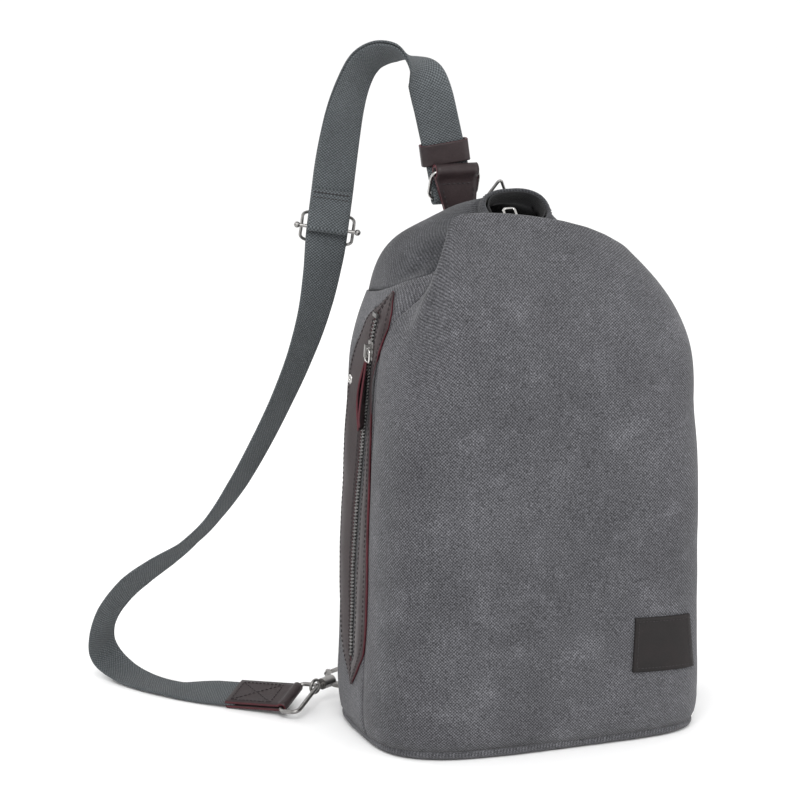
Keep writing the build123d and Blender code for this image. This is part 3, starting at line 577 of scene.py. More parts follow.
def level_point(angle, z, inset):
    """A point on the body's side at this angle in degrees and this height."""
    half, front, back = [float(np.interp(z, np.arange(len(c)), c)) for c in level_columns]
    c, s = cos(radians(angle)), sin(radians(angle))
    depth = -front if s < 0 else back
    power = CORNER_POWER
    if c < 0:
        half += LEFT_SWELL
        power = LEFT_FRONT_POWER if s < 0 else LEFT_BACK_POWER
    reach = (abs(c / (half - inset)) ** power + abs(s / (depth - inset)) ** power) ** (-1 / power)
    return Vector((reach * c, reach * s, z))


def edge_point(angle):
    place = angle % 360
    low = int(place) % 360
    share = place - int(place)
    return Vector([c[low] * (1 - share) + c[(low + 1) % 360] * share for c in edge_columns])


def crumple(point):
    """How far the cloth stands out here: broad slack, soft dents and small puckers at the base."""
    place = point * 0.001
    broad = noise.noise(place * 13.0 + Vector((3.1, 0.7, 1.9))) * 1.7
    dents = noise.noise(place * 38.0 + Vector((0.4, 5.2, 2.2))) * 0.55
    puckers = noise.noise(place * 120.0) * 0.5 * exp(-max(point.z - BASE_SEAM_Z, 0) / 12.0)
    return broad + dents + puckers


# How fast the walls lean in above the easing height, by angle: a small number leans in early.
EASE_POWERS = [
    (0, 2.6), (90, 2.1), (150, 2.4), (180, 2.9), (205, 3.0), (235, 2.2), (270, 1.8), (300, 2.1), (335, 2.7),
    (360, 2.6),
]
# The fold where the front panel laps over the gusset: share of the way up, angle, how far it stands out.
FOLD_RIDGE = [
    (0.45, 208.0, 0.0), (0.62, 208.5, 1.5), (0.74, 209.5, 4.5), (0.84, 211.0, 6.5), (0.93, 212.0, 5.0),
    (1.0, 212.5, 1.5),
]
FOLD_CREST_FRONT = 15.0   # how wide the fold's two flanks and the valley behind it are, in degrees
FOLD_CREST_BACK = 3.2
FOLD_VALLEY = 5.0
FOLD_VALLEY_BACK = 6.5
FOLD_VALLEY_SHARE = 0.85


def fold_swell(angle, share):
    """The front panel's fold: it swells over a wide band of the front and drops sharply behind."""
    off = angle % 360 - read_table(FOLD_RIDGE, share, 1)
    crest = bell(off, 0, FOLD_CREST_FRONT if off > 0 else FOLD_CREST_BACK)
    valley = bell(off, -FOLD_VALLEY_BACK, FOLD_VALLEY)
    return read_table(FOLD_RIDGE, share, 2) * (crest - FOLD_VALLEY_SHARE * valley)


ZIP_SINK = 3.2            # the stiff zip holds the cloth in along its chain
ZIP_SINK_WIDE = 8.0       # degrees
ZIP_ENDS_Z = [58, 282]    # where the chain ends, and at which angles
ZIP_ENDS_ANGLE = [172.5, 184.0]


def zip_sink(angle, z):
    """How far the cloth is held in beside the zip."""
    middle = float(np.interp(z, ZIP_ENDS_Z, ZIP_ENDS_ANGLE))
    along = smooth_step((z - 25) / 35) * (1 - smooth_step((z - 265) / 45))
    return ZIP_SINK * along * bell(angle % 360, middle, ZIP_SINK_WIDE)


def skin(angle, v, inset=0.0):
    """The body's outside: v 0 to 1 from the base seam to the easing height, 1 to 2 on to the top edge."""
    outward = outward_at(angle)
    if v <= 1:
        point = level_point(angle, BASE_SEAM_Z + (EASE_Z - BASE_SEAM_Z) * v, inset)
    else:
        share = v - 1
        low = level_point(angle, EASE_Z, inset)
        top = edge_point(angle) - outward * inset
        point = low.lerp(top, share ** read_table(EASE_POWERS, angle % 360))
        point.z = EASE_Z + (top.z - EASE_Z) * share
        point += outward * fold_swell(angle, share)
    fade = 1.0 - 0.6 * smooth_step(v - 1)
    return point + outward * (crumple(point) * fade - zip_sink(angle, point.z))


# Where the front panel meets the left gusset, under the zip's leather: share of the way up, angle.
FOLD_SEAM = [(0, 187), (0.5, 190.5), (0.65, 194.5), (0.75, 198.5), (0.84, 204), (0.93, 208.5), (1, 209.5)]


def fold_line(share):
    return read_table(FOLD_SEAM, share)


FRONT_RIGHT = 342.0
RIGHT_BACK = 380.0
BACK_LEFT = 160.0
LOW_ROWS = 44
HIGH_ROWS = 26
SEAM_SUNK = 0.9           # how far the cloth sinks in at its seams
BASE_SUNK = 0.7


def panel_rows(low_angle, high_angle, columns, inset=0.0):
    """Rows of a wall panel from its base seam to its top edge; seams sink in a little."""
    places = [i / LOW_ROWS for i in range(LOW_ROWS)] + [1 + i / HIGH_ROWS for i in range(HIGH_ROWS + 1)]
    rows = []
    for v in places:
        share = max(v - 1, 0.0)
        low, high = low_angle(share), high_angle(share)
        row = []
        for j in range(columns + 1):
            angle = low + (high - low) * j / columns
            outward = outward_at(angle)
            edge = min(j, columns - j)
            sunk = SEAM_SUNK * bell(edge, 0, 1.2) + BASE_SUNK * bell(v, 0, 1 / 40)
            row.append(skin(angle, v, inset) - outward * sunk)
        rows.append(row)
    return rows


def turned_edge(rows, low_angle, high_angle, steps):
    """Rows that turn a panel's top edge over and in, given as (inwards, down) steps."""
    extra = []
    for inwards, down in steps:
        row = []
        for j, point in enumerate(rows[-1]):
            angle = low_angle(1.0) + (high_angle(1.0) - low_angle(1.0)) * j / (len(rows[-1]) - 1)
            outward = outward_at(angle)
            row.append(point - outward * inwards - Vector((0, 0, down)))
        extra.append(row)
    return rows + extra


FRONT_LIP = [(1.2, -0.9), (3.0, -0.9), (4.8, 0.4), (6.2, 3.0), (7.4, 8.0), (8.2, 15.0), (8.6, 24.0)]
SEAM_TURN = [(1.4, 0.2), (3.0, 1.6), (4.0, 5.0)]


def steady(angle):
    return lambda share: angle


wall_panels = []
for name, low, high, columns, turn, replaced in (
    ("front_panel_cloth", fold_line, steady(FRONT_RIGHT), 128, FRONT_LIP, ["front_panel"]),
    ("right_gusset_cloth", steady(FRONT_RIGHT), steady(RIGHT_BACK), 30, SEAM_TURN, ["right_gusset"]),
    ("back_panel_cloth", steady(RIGHT_BACK - 360), steady(BACK_LEFT), 84, SEAM_TURN, ["back_panel"]),
    ("left_gusset_cloth", steady(BACK_LEFT), fold_line, 34, SEAM_TURN, ["left_gusset"]),
):
    rows = turned_edge(panel_rows(low, high, columns), low, high, turn)
    panel = thicken(grid_object(name, rows, [CANVAS]), 1.6)
    finish_piece(panel, "root", replaced)
    wall_panels.append(panel)


def skin_tree(objects):
    """A ray-cast tree of the wall panels' outsides, in millimetres."""
    vertices = []
    faces = []
    for obj in objects:
        first = len(vertices)
        vertices += [v.co / MM for v in obj.data.vertices]
        faces += [[first + k for k in polygon.vertices] for polygon in obj.data.polygons]
    return BVHTree.FromPolygons(vertices, faces)


walls = skin_tree(wall_panels)
OUTSIDE = 200.0           # rays start this far from the bag's middle


def wall_hit(start, inwards):
    """Where a ray meets the bag's walls, and the direction out of them there."""
    place, normal, _, _ = walls.ray_cast(start, inwards)
    return place, -normal if normal.dot(inwards) > 0 else normal


def left_skin(y, z):
    return wall_hit(Vector((-OUTSIDE, y, z)), X)


def front_skin(x, z):
    return wall_hit(Vector((x, -OUTSIDE, z)), Y)


# The base's profile from its middle out and up to the seam: share of the way out, height, how far inside.
BASE_PROFILE = [(0.02, 1.0, 0), (0.5, 0.7, 0), (0.85, 0.3, 0), (1, 0.05, 10), (1, 0.2, 5.5), (1, 1.4, 3.2),
                (1, 3.2, 1.9), (1, 4.8, 1.6), (1, 6.2, 2.0), (1, 7.2, 3.4)]


def base_point(angle, share, z, inset):
    point = level_point(angle, 9.0, inset)
    outward = outward_at(angle)
    pucker = noise.noise(outward * 9.0) * 0.5 if share == 1 else 0.0
    return Vector((point.x * share, point.y * share, z)) + outward * pucker


def base_rows():
    return [around(2, lambda angle: base_point(angle, *place)) for place in BASE_PROFILE]


base = thicken(grid_object("base_panel_cloth", base_rows(), [CANVAS], closed=True), 1.2)
finish_piece(base, "root", ["base_panel"])

# ---- collar, mouth and lining
MOUTH_CENTRE = Vector((0.5, 6, 375))
MOUTH_TILT = radians(36.0)
MOUTH_HALF_W = 24.0
MOUTH_HALF_D = 18.5
MOUTH_POWER = 2.5         # its outline is between an ellipse, 2, and a rectangle
MOUTH_AXIS = Vector((0, -sin(MOUTH_TILT), cos(MOUTH_TILT)))
MOUTH_UP = Vector((0, cos(MOUTH_TILT), sin(MOUTH_TILT)))


def mouth_point(angle, drop, grow):
    """A point round the mouth, this far down its axis and out from its edge."""
    c, s = cos(radians(angle)), sin(radians(angle))
    half_w, half_d = MOUTH_HALF_W + grow, MOUTH_HALF_D + grow
    reach = (abs(c / half_w) ** MOUTH_POWER + abs(s / half_d) ** MOUTH_POWER) ** (-1 / MOUTH_POWER)
    return MOUTH_CENTRE + X * reach * c + MOUTH_UP * reach * s - MOUTH_AXIS * drop


COLLAR_ROWS = 22
COLLAR_ROUND = 0.72       # how round the collar's profile is: 0 is straight, 1 is a quarter ellipse
LEFT_ROUND = 0.08         # the left side is this much rounder
LEFT_ANGLE = 172.0
PUFF_ANGLE = 165.0        # the collar puffs out here by PUFF_OUT millimetres
PUFF_OUT = 12.0
HOLLOW_ANGLE = 204.0      # it sinks in here, behind the front panel's fold
HOLLOW_DEEP = 24.0
SLACK_ANGLE = 15.0        # it hangs slack on this side, hidden by the front panel
SLACK_DROP = 0.12
BEHIND_INWARDS = 15.0     # its lower edge behind the front panel
BEHIND_DOWN = 20.0


def front_share(angle):
    """1 where the collar runs behind the front panel's fold, 0 where it is sewn to the top edge."""
    place = angle % 360
    return smooth_step((place - 200) / 10) * (1 - smooth_step((place - 328) / 14))


def collar_point(angle, t):
    """From the shoulder seam, t 0, to the mouth's hem, t 1."""
    behind = front_share(angle)
    outward = outward_at(angle)
    inwards = 1.6 + BEHIND_INWARDS * behind
    start = edge_point(angle) - outward * inwards - Z * (-0.6 + BEHIND_DOWN * behind)
    end = mouth_point(angle, 10.0, 2.2)
    place = angle % 360
    slack = bell((angle + 180) % 360 - 180, SLACK_ANGLE, 50.0)
    full = (COLLAR_ROUND + LEFT_ROUND * bell(place, LEFT_ANGLE, 30.0)) * (1 - slack)
    round_h = full * (1 - cos(t * pi / 2)) + (1 - full) * t
    round_v = full * sin(t * pi / 2) + (1 - full) * t - SLACK_DROP * slack * sin(pi * t)
    h = round_h * (1 - behind) + (0.65 * t + 0.35 * t * t) * behind
    v = round_v * (1 - behind) + (0.8 * t + 0.2 * t * t) * behind
    point = Vector((start.x + (end.x - start.x) * h, start.y + (end.y - start.y) * h,
                    start.z + (end.z - start.z) * v))
    swell = sin(pi * t)
    puff = PUFF_OUT * bell(place, PUFF_ANGLE, 22.0) * swell * t
    hollow = HOLLOW_DEEP * bell(place, HOLLOW_ANGLE, 11.5) * swell ** 0.5
    point += outward * (puff - hollow)
    soft = noise.noise(point * 0.022 + Vector((1.7, 4.1, 0.3))) * 3.2
    pleat = sin(radians(angle) * 11.0 + 1.4 * sin(t * 3)) * 0.9 * t
    return point + (outward + Z) * 0.7 * (soft + pleat) * swell * (1 - 0.6 * behind)


def collar_rows(low, high, columns):
    rows = []
    for i in range(COLLAR_ROWS + 1):
        t = i / COLLAR_ROWS
        rows.append([collar_point(low + (high - low) * j / columns, t) for j in range(columns + 1)])
    return rows


# The collar's cloth is the darker canvas copy: painted shade for its recess behind the front panel's fold.
for name, low, high, columns in (
    ("collar_right", -45, 50, 50), ("collar_back", 50, 130, 40),
    ("collar_left", 130, 240, 60), ("collar_front", 240, 315, 40),
):
    collar = thicken(grid_object(name + "_cloth", collar_rows(low, high, columns), [COLLAR_CANVAS_PAINTED_SHADE]), 1.5)
    finish_piece(collar, "root", [name])

# The hem's profile: (down the mouth's axis, out from the mouth's edge).
HEM_PROFILE = [
    (11.5, 2.2), (9.0, 2.2), (6.5, 1.5), (4.0, 0.8), (2.6, 0.3), (1.9, -0.3), (1.7, -0.9), (2.0, -1.5),
    (3.2, -2.0), (6.0, -2.2), (9.0, -2.2), (13.0, -2.0),
]


def hem_point(angle, drop, grow):
    """A point on the hem, whose edge waves a little up and down."""
    wave = noise.noise(outward_at(angle) * 1.7 + Z * 0.5) * 1.1
    return mouth_point(angle, drop + wave, grow)


hem_rows = [around(3, lambda angle: hem_point(angle, drop, grow)) for drop, grow in HEM_PROFILE]
# The hem is also the darker canvas copy: painted shade.
hem = thicken(grid_object("mouth_hem_cloth", hem_rows, [COLLAR_CANVAS_PAINTED_SHADE], closed=True), 0.8)
finish_piece(hem, "root", ["mouth_hem"])


def hem_line(drop, grow):
    """A line of stitches round the hem, and the directions out of it."""
    angles = range(0, 363, 3)
    points = [hem_point(angle, drop, grow) for angle in angles]
    outs = [(mouth_point(angle, drop, grow + 1) - mouth_point(angle, drop, grow)).normalized()
            for angle in angles]
    return points, outs


stitch_object("mouth_hem_stitches", [hem_line(4.0, 1.0), hem_line(8.6, 2.4)], "root",
              pitch=3.0, length=2.2, radius=0.3, material=GREY_THREAD)


def lining_wall(angle, v):
    """The lining just inside the walls, with room for the foam at the back."""
    foam_room = smooth_step(sin(radians(angle)) * 2) * 7.0
    point = skin(angle, v, 5.0 + foam_room)
    ripple = noise.noise(point * 0.03) * 1.2
    return point + outward_at(angle) * (ripple - 1.2) - Z * 5.0 * smooth_step(v - 1)


def lining_collar(angle, t):
    clear = 5.5 + 8.0 * bell(angle, HOLLOW_ANGLE, 20.0) * sin(pi * t)
    return collar_point(angle, t) - outward_at(angle) * clear - Z * 5.5


def lining_floor(angle, share, z):
    point = level_point(angle, 12.0, 5.0)
    return Vector((point.x * share, point.y * share, z))


def lining_rows():
    """The black lining: up the walls inside the cloth, over under the collar and out to the mouth."""
    rows = [around(3, lambda angle: lining_floor(angle, share, z))
            for share, z in ((0.02, 7.0), (0.6, 6.9), (0.94, 7.0))]
    rows += [around(3, lambda angle: lining_wall(angle, i / 15)) for i in range(1, 30)]
    rows += [around(3, lambda angle: lining_collar(angle, t))
             for t in (0.12, 0.24, 0.36, 0.48, 0.6, 0.7, 0.8, 0.9, 0.97)]
    rows += [around(3, lambda angle: mouth_point(angle, drop, grow))
             for drop, grow in ((15.0, -3.4), (10.0, -3.5), (5.5, -3.6), (2.4, -3.4))]
    return rows


lining = thicken(grid_object("lining_cloth", lining_rows(), [BLACK_CLOTH], closed=True), 0.5)
finish_piece(lining, "root", ["lining"])


def closed_pad(name, material, width, height, thick, place, lanes=15, tall=17):
    """A crowned closed pad: place(x, y, out) puts its own flat coordinates into the bag."""
    rows = []
    for i in range(tall + 1):
        y = (i / tall - 0.5) * height
        row = []
        for side in (1, -1):
            for j in range(lanes):
                x = (j / (lanes - 1) - 0.5) * width * side
                crown = ((1 - (2 * x / width) ** 6) * (1 - (2 * y / height) ** 6)) ** 0.5
                row.append(place(x, y, side * thick / 2 * (0.12 + 0.88 * crown)))
        rows.append(row)
    return grid_object(name, rows, [material], closed=True, caps=True)


FOAM_MIDDLE_Z = 162.0
FOAM_LINE = [(24, 72.5), (110, 72), (200, 68), (300, 60.5)]     # height, y of the pad's middle layer


def back_place(x, y, out):
    z = FOAM_MIDDLE_Z + y
    return Vector((x, read_table(FOAM_LINE, z) + out, z))


foam = closed_pad("back_foam", FOAM, 164, 270, 5.6, back_place)
finish_piece(foam, "root", ["back_foam_pad"])

# ---- side zip
ZIP_TOP = Vector((-111.5, -8, 282))
ZIP_LOW = Vector((-119.4, 20, 58))
ZIP_UP = (ZIP_TOP - ZIP_LOW).normalized()
ZIP_OUT = (Vector((-1, 0, 0)) + ZIP_UP * ZIP_UP.x).normalized()
ZIP_FRONT = ZIP_UP.cross(ZIP_OUT)
CHAIN_LENGTH = (ZIP_TOP - ZIP_LOW).length
CHAIN_ABOVE = 24.0
SLOT_BACK = 4.0           # the slot's edges, from the middle of the chain
SLOT_FRONT = 8.0
ZIP_BOW_BACK = 5.0        # the sewn-in chain bows this far back and out, half way down
ZIP_BOW_OUT = 3.5
ZIP_FOOT_FRONT = 8.0      # its lower end runs forward again


def zip_place(front, up, out):
    """A point beside the zip's chain, from the slider's rest place."""
    share = min(max(-up / CHAIN_LENGTH, 0.0), 1.0)
    bow = sin(pi * share)
    back = ZIP_BOW_BACK * bow - ZIP_FOOT_FRONT * share * share
    side = ZIP_FRONT * (front - back) + ZIP_OUT * (out + ZIP_BOW_OUT * bow)
    return ZIP_TOP + ZIP_UP * up + side


def chain_place(front, up, out):
    """A point beside the chain, at this height off the cloth that it is sewn to."""
    flat = zip_place(front, up, 0)
    place, normal = left_skin(flat.y, flat.z)
    return place + normal * out


def smooth_points(points, count):
    """Points spaced evenly along a rounded line, a Catmull-Rom spline, through these (y, z) points."""
    control = [Vector((0, y, z)) for y, z in points]
    control = [control[0] * 2 - control[1]] + control + [control[-1] * 2 - control[-2]]
    dense = []
    for i in range(1, len(control) - 2):
        p0, p1, p2, p3 = control[i - 1:i + 3]
        for k in range(24):
            t = k / 24
            dense.append(0.5 * ((2 * p1) + (p2 - p0) * t + (2 * p0 - 5 * p1 + 4 * p2 - p3) * t * t
                                + (3 * p1 - p0 - 3 * p2 + p3) * t ** 3))
    dense.append(control[-2])
    total = line_length(dense)
    return [polyline_place(dense, total * k / (count - 1))[0] for k in range(count)]


WELT_APEX = (-18, 323)
WELT_TIP = (6, 39)
WELT_FRONT = [
    WELT_APEX, (-26, 308), (-24.5, 290), (-16.5, 273), (-11, 256), (-11, 232), (-13.5, 206), (-17, 171),
    (-20, 137), (-20.5, 107), (-19, 79), (-12, 60), WELT_TIP,
]
WELT_BACK = [
    WELT_APEX, (-9, 313), (6, 303), (13, 290), (21, 277), (29, 254), (35, 225), (39, 190), (39, 155),
    (37, 121), (35, 92), (29, 58), WELT_TIP,
]
WELT_THICK = 1.7
STITCH_LIFT = WELT_THICK + 0.1
SLOT_END = 9.0            # the slot narrows over this length at each end
WELT_STEPS = 84
WELT_LANES = 7


def welt_side(outer, side):
    """One side of the leather frame, from its outer edge in to the slot's edge, lying on the cloth."""
    outer_line = smooth_points(outer, WELT_STEPS + 1)
    slot_high = CHAIN_ABOVE + 3.0
    slot_low = -CHAIN_LENGTH - 4.0
    top = zip_place(0, slot_high, 0)
    low = zip_place(0, slot_low, 0)
    apex = Vector((0, *WELT_APEX))
    tip = Vector((0, *WELT_TIP))
    inner_line = []
    for k in range(WELT_STEPS + 1):
        z = outer_line[k].z
        if z > top.z:
            share = (z - top.z) / (apex.z - top.z)
            inner_line.append(Vector((0, top.y + (apex.y - top.y) * share, z)))
        elif z < low.z:
            share = (low.z - z) / (low.z - tip.z)
            inner_line.append(Vector((0, low.y + (tip.y - low.y) * share, z)))
        else:
            up = (z - top.z) / ZIP_UP.z + slot_high
            ends = smooth_step((slot_high - up) / SLOT_END) * smooth_step((up - slot_low) / SLOT_END)
            wider = smooth_step((top.z - z) / 80.0) if side > 0 else 0.0
            opening = ends ** 0.5 * (SLOT_BACK + (SLOT_FRONT - SLOT_BACK) * wider)
            inner_line.append(zip_place(side * opening, up, 0))
    rows = []
    for a, b in zip(outer_line, inner_line):
        row = []
        for j in range(WELT_LANES + 1):
            share = j / WELT_LANES
            place, normal = left_skin(a.y + (b.y - a.y) * share, a.z + (b.z - a.z) * share)
            row.append(place + normal * (0.25 + 0.5 * sin(pi * share)))
        rows.append(row)
    return rows


welt_front_rows = welt_side(WELT_FRONT, 1)
welt_back_rows = welt_side(WELT_BACK, -1)
for name, rows, replaced in (
    ("zip_welt_front", welt_front_rows, ["zip_welt"]),
    ("zip_welt_back", [list(reversed(row)) for row in welt_back_rows], []),
):
    welt = thicken(grid_object(name, rows, [LEATHER, EDGE_PAINT]), WELT_THICK, offset=1.0, rim=1)
    finish_piece(welt, "root", replaced)


def welt_stitch_row(rows, lane):
    """The line at a share of the way across a welt side, on top of the leather."""
    points = []
    outs = []
    for row in rows[1:-1]:
        place = lane * (len(row) - 1)
        j = min(int(place), len(row) - 2)
        point = row[j].lerp(row[j + 1], place - j)
        normal = left_skin(point.y, point.z)[1]
        points.append(point + normal * STITCH_LIFT)
        outs.append(normal)
    return points, outs


stitch_object("zip_welt_stitches", [
    welt_stitch_row(welt_front_rows, 0.20), welt_stitch_row(welt_back_rows, 0.11),
    welt_stitch_row(welt_front_rows, 0.84), welt_stitch_row(welt_back_rows, 0.90),
], "root", pitch=3.6, length=2.5, radius=0.36)


EYELET_PLACE = (22.5, 256.0)
# The eyelet's profile: (radius, height off the cloth).
EYELET_PROFILE = [(3.5, 1.6), (3.6, 2.6), (3.2, 3.1), (2.5, 3.2), (1.9, 2.9), (1.6, 2.3), (1.5, 0.9)]


def eyelet_rows():
    """A rolled metal ring set in the leather."""
    place, normal = left_skin(*EYELET_PLACE)
    across = normal.cross(ZIP_UP).normalized()
    upward = across.cross(normal)

    def ring_point(angle, radius, height):
        side = across * cos(radians(angle)) + upward * sin(radians(angle))
        return place + side * radius + normal * height

    return [around(15, lambda angle: ring_point(angle, *step)) for step in EYELET_PROFILE]


eyelet = grid_object("earphone_eyelet_rolled", eyelet_rows(), [NICKEL], closed=True)
finish_piece(eyelet, "root", ["earphone_eyelet"])


TAPE_LIFT = 0.6           # from the cloth to the tape


def zip_tape(side):
    """One of the two tapes that carry the teeth, laid on the cloth."""
    rows = []
    for k in range(61):
        up = -CHAIN_LENGTH - 6 + (CHAIN_LENGTH + CHAIN_ABOVE + 10) * k / 60
        rows.append([chain_place(side * x, up, TAPE_LIFT) for x in np.linspace(0.5, 11.0, 7)])
    if side > 0:
        rows = [list(reversed(row)) for row in rows]
    return rows


for name, side in (("front", 1), ("back", -1)):
    tape = thicken(grid_object("zip_tape_" + name + "_cloth", zip_tape(side), [TAPE_CLOTH]), 0.7)
    finish_piece(tape, "root", ["zip_tape_" + name])

TOOTH_PITCH = 2.5
TOOTH_AWAY = 0.9          # from the chain's middle to the line that a tooth's layers shrink to
TOOTH_LIFT = 1.6          # from the cloth to the middle of a tooth
# A tooth seen from outside: (away from the chain's middle, up), and its layers: (out, scale).
TOOTH_OUTLINE = [
    (2.5, -0.55), (2.5, 0.55), (0.6, 0.42), (-0.35, 0.62), (-0.75, 0.0), (-0.35, -0.62), (0.6, -0.42),
]
TOOTH_LAYERS = [(-0.6, 0.9), (0.2, 1.05), (0.95, 1.0), (1.25, 0.72)]


def zip_teeth(side):
    """One row of moulded metal teeth, each a small rounded hook reaching over the middle."""
    vertices = []
    faces = []
    count = int((CHAIN_LENGTH + CHAIN_ABOVE) / TOOTH_PITCH)
    size = len(TOOTH_OUTLINE)
    for k in range(count):
        up = -CHAIN_LENGTH + TOOTH_PITCH * (k + (0.5 if side > 0 else 0.0)) + 0.8
        first = len(vertices)
        for out, grow in TOOTH_LAYERS:
            for x, y in TOOTH_OUTLINE:
                away = side * (TOOTH_AWAY + (x - TOOTH_AWAY) * grow)
                vertices.append(chain_place(away, up + y * grow, out + TOOTH_LIFT))
        for layer in range(len(TOOTH_LAYERS) - 1):
            for s in range(size):
                t = (s + 1) % size
                a = first + layer * size
                quad = (a + s, a + t, a + size + t, a + size + s)
                faces.append(quad if side < 0 else tuple(reversed(quad)))
        ends = (tuple(first + s for s in range(size)), tuple(first + 3 * size + s for s in range(size)))
        faces.append(tuple(reversed(ends[0])) if side < 0 else ends[0])
        faces.append(ends[1] if side < 0 else tuple(reversed(ends[1])))
    return vertices, faces


for name, side in (("zip_teeth_front", 1), ("zip_teeth_back", -1)):
    finish_piece(mesh_object(name + "_row", *zip_teeth(side), [ZIP_METAL]), "root", [name])


def pocket_place(x, y, out):
    return zip_place(x - 2, y - 101, -9.8 + out)


pocket = closed_pad("side_pocket_cloth", BLACK_CLOTH, 44, 188, 2.0, pocket_place)
finish_piece(pocket, "root", ["side_pocket_bag"])

PULL_TOP = zip_place(0, -8.2, 4.6)
PULL_DOWN = -ZIP_UP
PULL_TURN = 24            # degrees that the strips are turned on edge at their ring
PULL_TURN_MORE = 30       # and how many more at their free ends


def pull_strip(name, side, length, replaced):
    """One of the pull's two leather strips, curled along its length and turned on edge."""
    rows = []
    for k in range(25):
        share = k / 24
        half = 1.9 + 2.6 * smooth_step(share * 3.2) - 0.5 * smooth_step(share * 6 - 5)
        turn = radians(side * (PULL_TURN + PULL_TURN_MORE * share))
        spread = side * (0.9 + 2.6 * sin(pi * min(share * 1.15, 1.0)))
        centre = PULL_TOP + PULL_DOWN * (length * share) + ZIP_FRONT * (spread - 1.2 * sin(pi * share))
        centre += ZIP_OUT * (0.6 + 1.3 * sin(pi * share) - 0.7 * share)
        width = ZIP_FRONT * cos(turn) + ZIP_OUT * sin(turn) * side * 0.9
        rows.append([centre + width * half * x for x in (-1, -0.6, 0, 0.6, 1)])
    strip = thicken(grid_object(name, rows, [LEATHER, EDGE_PAINT]), 1.3, offset=0.0, rim=1)
    return finish_piece(strip, "zip_pull", replaced)


pull_strip("zip_pull_strip_front", 1, 47.0, ["zip_pull"])
pull_strip("zip_pull_strip_back", -1, 50.0, [])


# ---- leather pieces
def folded_tab(name, bar, tail, out, across, radius, thick, halves, length, replaced, gap=0.15):
    """A leather strip folded round a bar: the bar's place and the unit directions of its tail, face and
    width; halves holds (share of the way down the tail, reach to the left, reach to the right)."""
    steps = [(length * (1 - k / 20.0), thick / 2 + gap) for k in range(20)]
    arc = [radians(a) for a in range(60, 301, 20)]
    middle = radius + thick / 2
    profile = steps + [(middle * cos(a), middle * sin(a)) for a in arc]
    profile += [(down, -side) for down, side in reversed(steps)]
    rows = []
    for down, side in profile:
        share = max(down, 0) / length
        left, right = read_table(halves, share, 1), read_table(halves, share, 2)
        centre = bar + tail * down + out * side
        rows.append([centre + across * x for x in np.linspace(-left, right, 9)])
    tab = thicken(grid_object(name, rows, [LEATHER, EDGE_PAINT]), thick, offset=0.0, rim=1)
    return finish_piece(tab, "root", replaced)


TAB_FOLD = Vector((-21, 69.5, 391))
TAB_HALVES = [(0, 16.2, 16.0), (0.06, 15.8, 15.8), (0.38, 7.0, 14.5), (1, 7.0, 14.5)]
TAB_LENGTH = 88.0
TAB_INSET = 2.6           # from its edge to the stitches
TAB_FRONT = -2.3          # from the fold's middle to the stitches on the tab's front face
TAB_THROUGH = 4.7         # and from those to the stitches on its back face


def even(half):
    return [(0, half, half), (1, half, half)]


folded_tab("top_tab_leather", TAB_FOLD, -Z, -Y, X, 3.2, 2.0, TAB_HALVES, TAB_LENGTH,
           ["top_anchor_tab"])


def tab_line(side, through):
    """A stitch line down one side of the top tab, this far behind its front face."""
    points = []
    for z in np.linspace(303, 381, 30):
        half = read_table(TAB_HALVES, (TAB_FOLD.z - z) / TAB_LENGTH, 1 if side < 0 else 2)
        front = Vector((TAB_FOLD.x + side * (half - TAB_INSET), TAB_FOLD.y + TAB_FRONT, z))
        points.append(front + Y * through)
    return points, [Y if through else -Y] * len(points)


fold_row = ([Vector((TAB_FOLD.x + x, 67.1, 382.0)) for x in np.linspace(-12, 12, 12)], [-Y] * 12)
stitch_object("top_tab_stitches", [
    tab_line(-1, 0), tab_line(1, 0), fold_row, tab_line(-1, TAB_THROUGH), tab_line(1, TAB_THROUGH),
], "root", pitch=3.8, length=2.6, radius=0.42)


KEEPER_SHARE = 0.36       # its place between the route's second and third points
KEEPER_TILT = 0.10
KEEPER_HALF_W = 16.2
KEEPER_HALF_D = 4.1
KEEPER_HEIGHTS = (-8.2, -7.2, -3.5, 0, 3.0, 6.0, 7.0)


def keeper_rows():
    """The leather band round the two webbing layers, above the tab."""
    a, b = route_points[1], route_points[2]
    along = (b - a).normalized()
    width = route_widths[1].lerp(route_widths[2], KEEPER_SHARE)
    across = (width - along * width.dot(along)).normalized()
    inward = along.cross(across)
    centre = a.lerp(b, KEEPER_SHARE) + inward * LAYER_STEP / 2
    along = (along + across * KEEPER_TILT).normalized()
    across = (across - along * across.dot(along)).normalized()

    def keeper_point(angle, height):
        c, s = cos(radians(angle)), sin(radians(angle))
        reach = (abs(c / KEEPER_HALF_W) ** 7 + abs(s / KEEPER_HALF_D) ** 7) ** (-1 / 7)
        return centre + across * reach * c + inward * reach * s + along * height

    return [around(6, lambda angle: keeper_point(angle, height)) for height in KEEPER_HEIGHTS]


keeper = grid_object("strap_keeper_leather", keeper_rows(), [LEATHER, EDGE_PAINT], closed=True)
finish_piece(thicken(keeper, 1.5, offset=1.0, rim=1), "root", ["strap_keeper"])

# The strap's end: leather over both faces of the webbing with a rolled loop for the ring.
END = route_points[-1]
END_ALONG = (route_points[-1] - route_points[-2]).normalized()
END_ACROSS = (route_widths[-1] - END_ALONG * route_widths[-1].dot(END_ALONG)).normalized()
END_OUT = END_ACROSS.cross(END_ALONG)
ROLL_S = 39.0
folded_tab("strap_end_leather_fold", END + END_ALONG * ROLL_S, -END_ALONG, END_OUT, END_ACROSS, 2.1, 1.7,
           even(14.7), ROLL_S + 7.0, ["strap_end_leather"], gap=0.95)


def end_place(across, along, side):
    return END + END_ACROSS * across + END_ALONG * along + END_OUT * side * 2.75


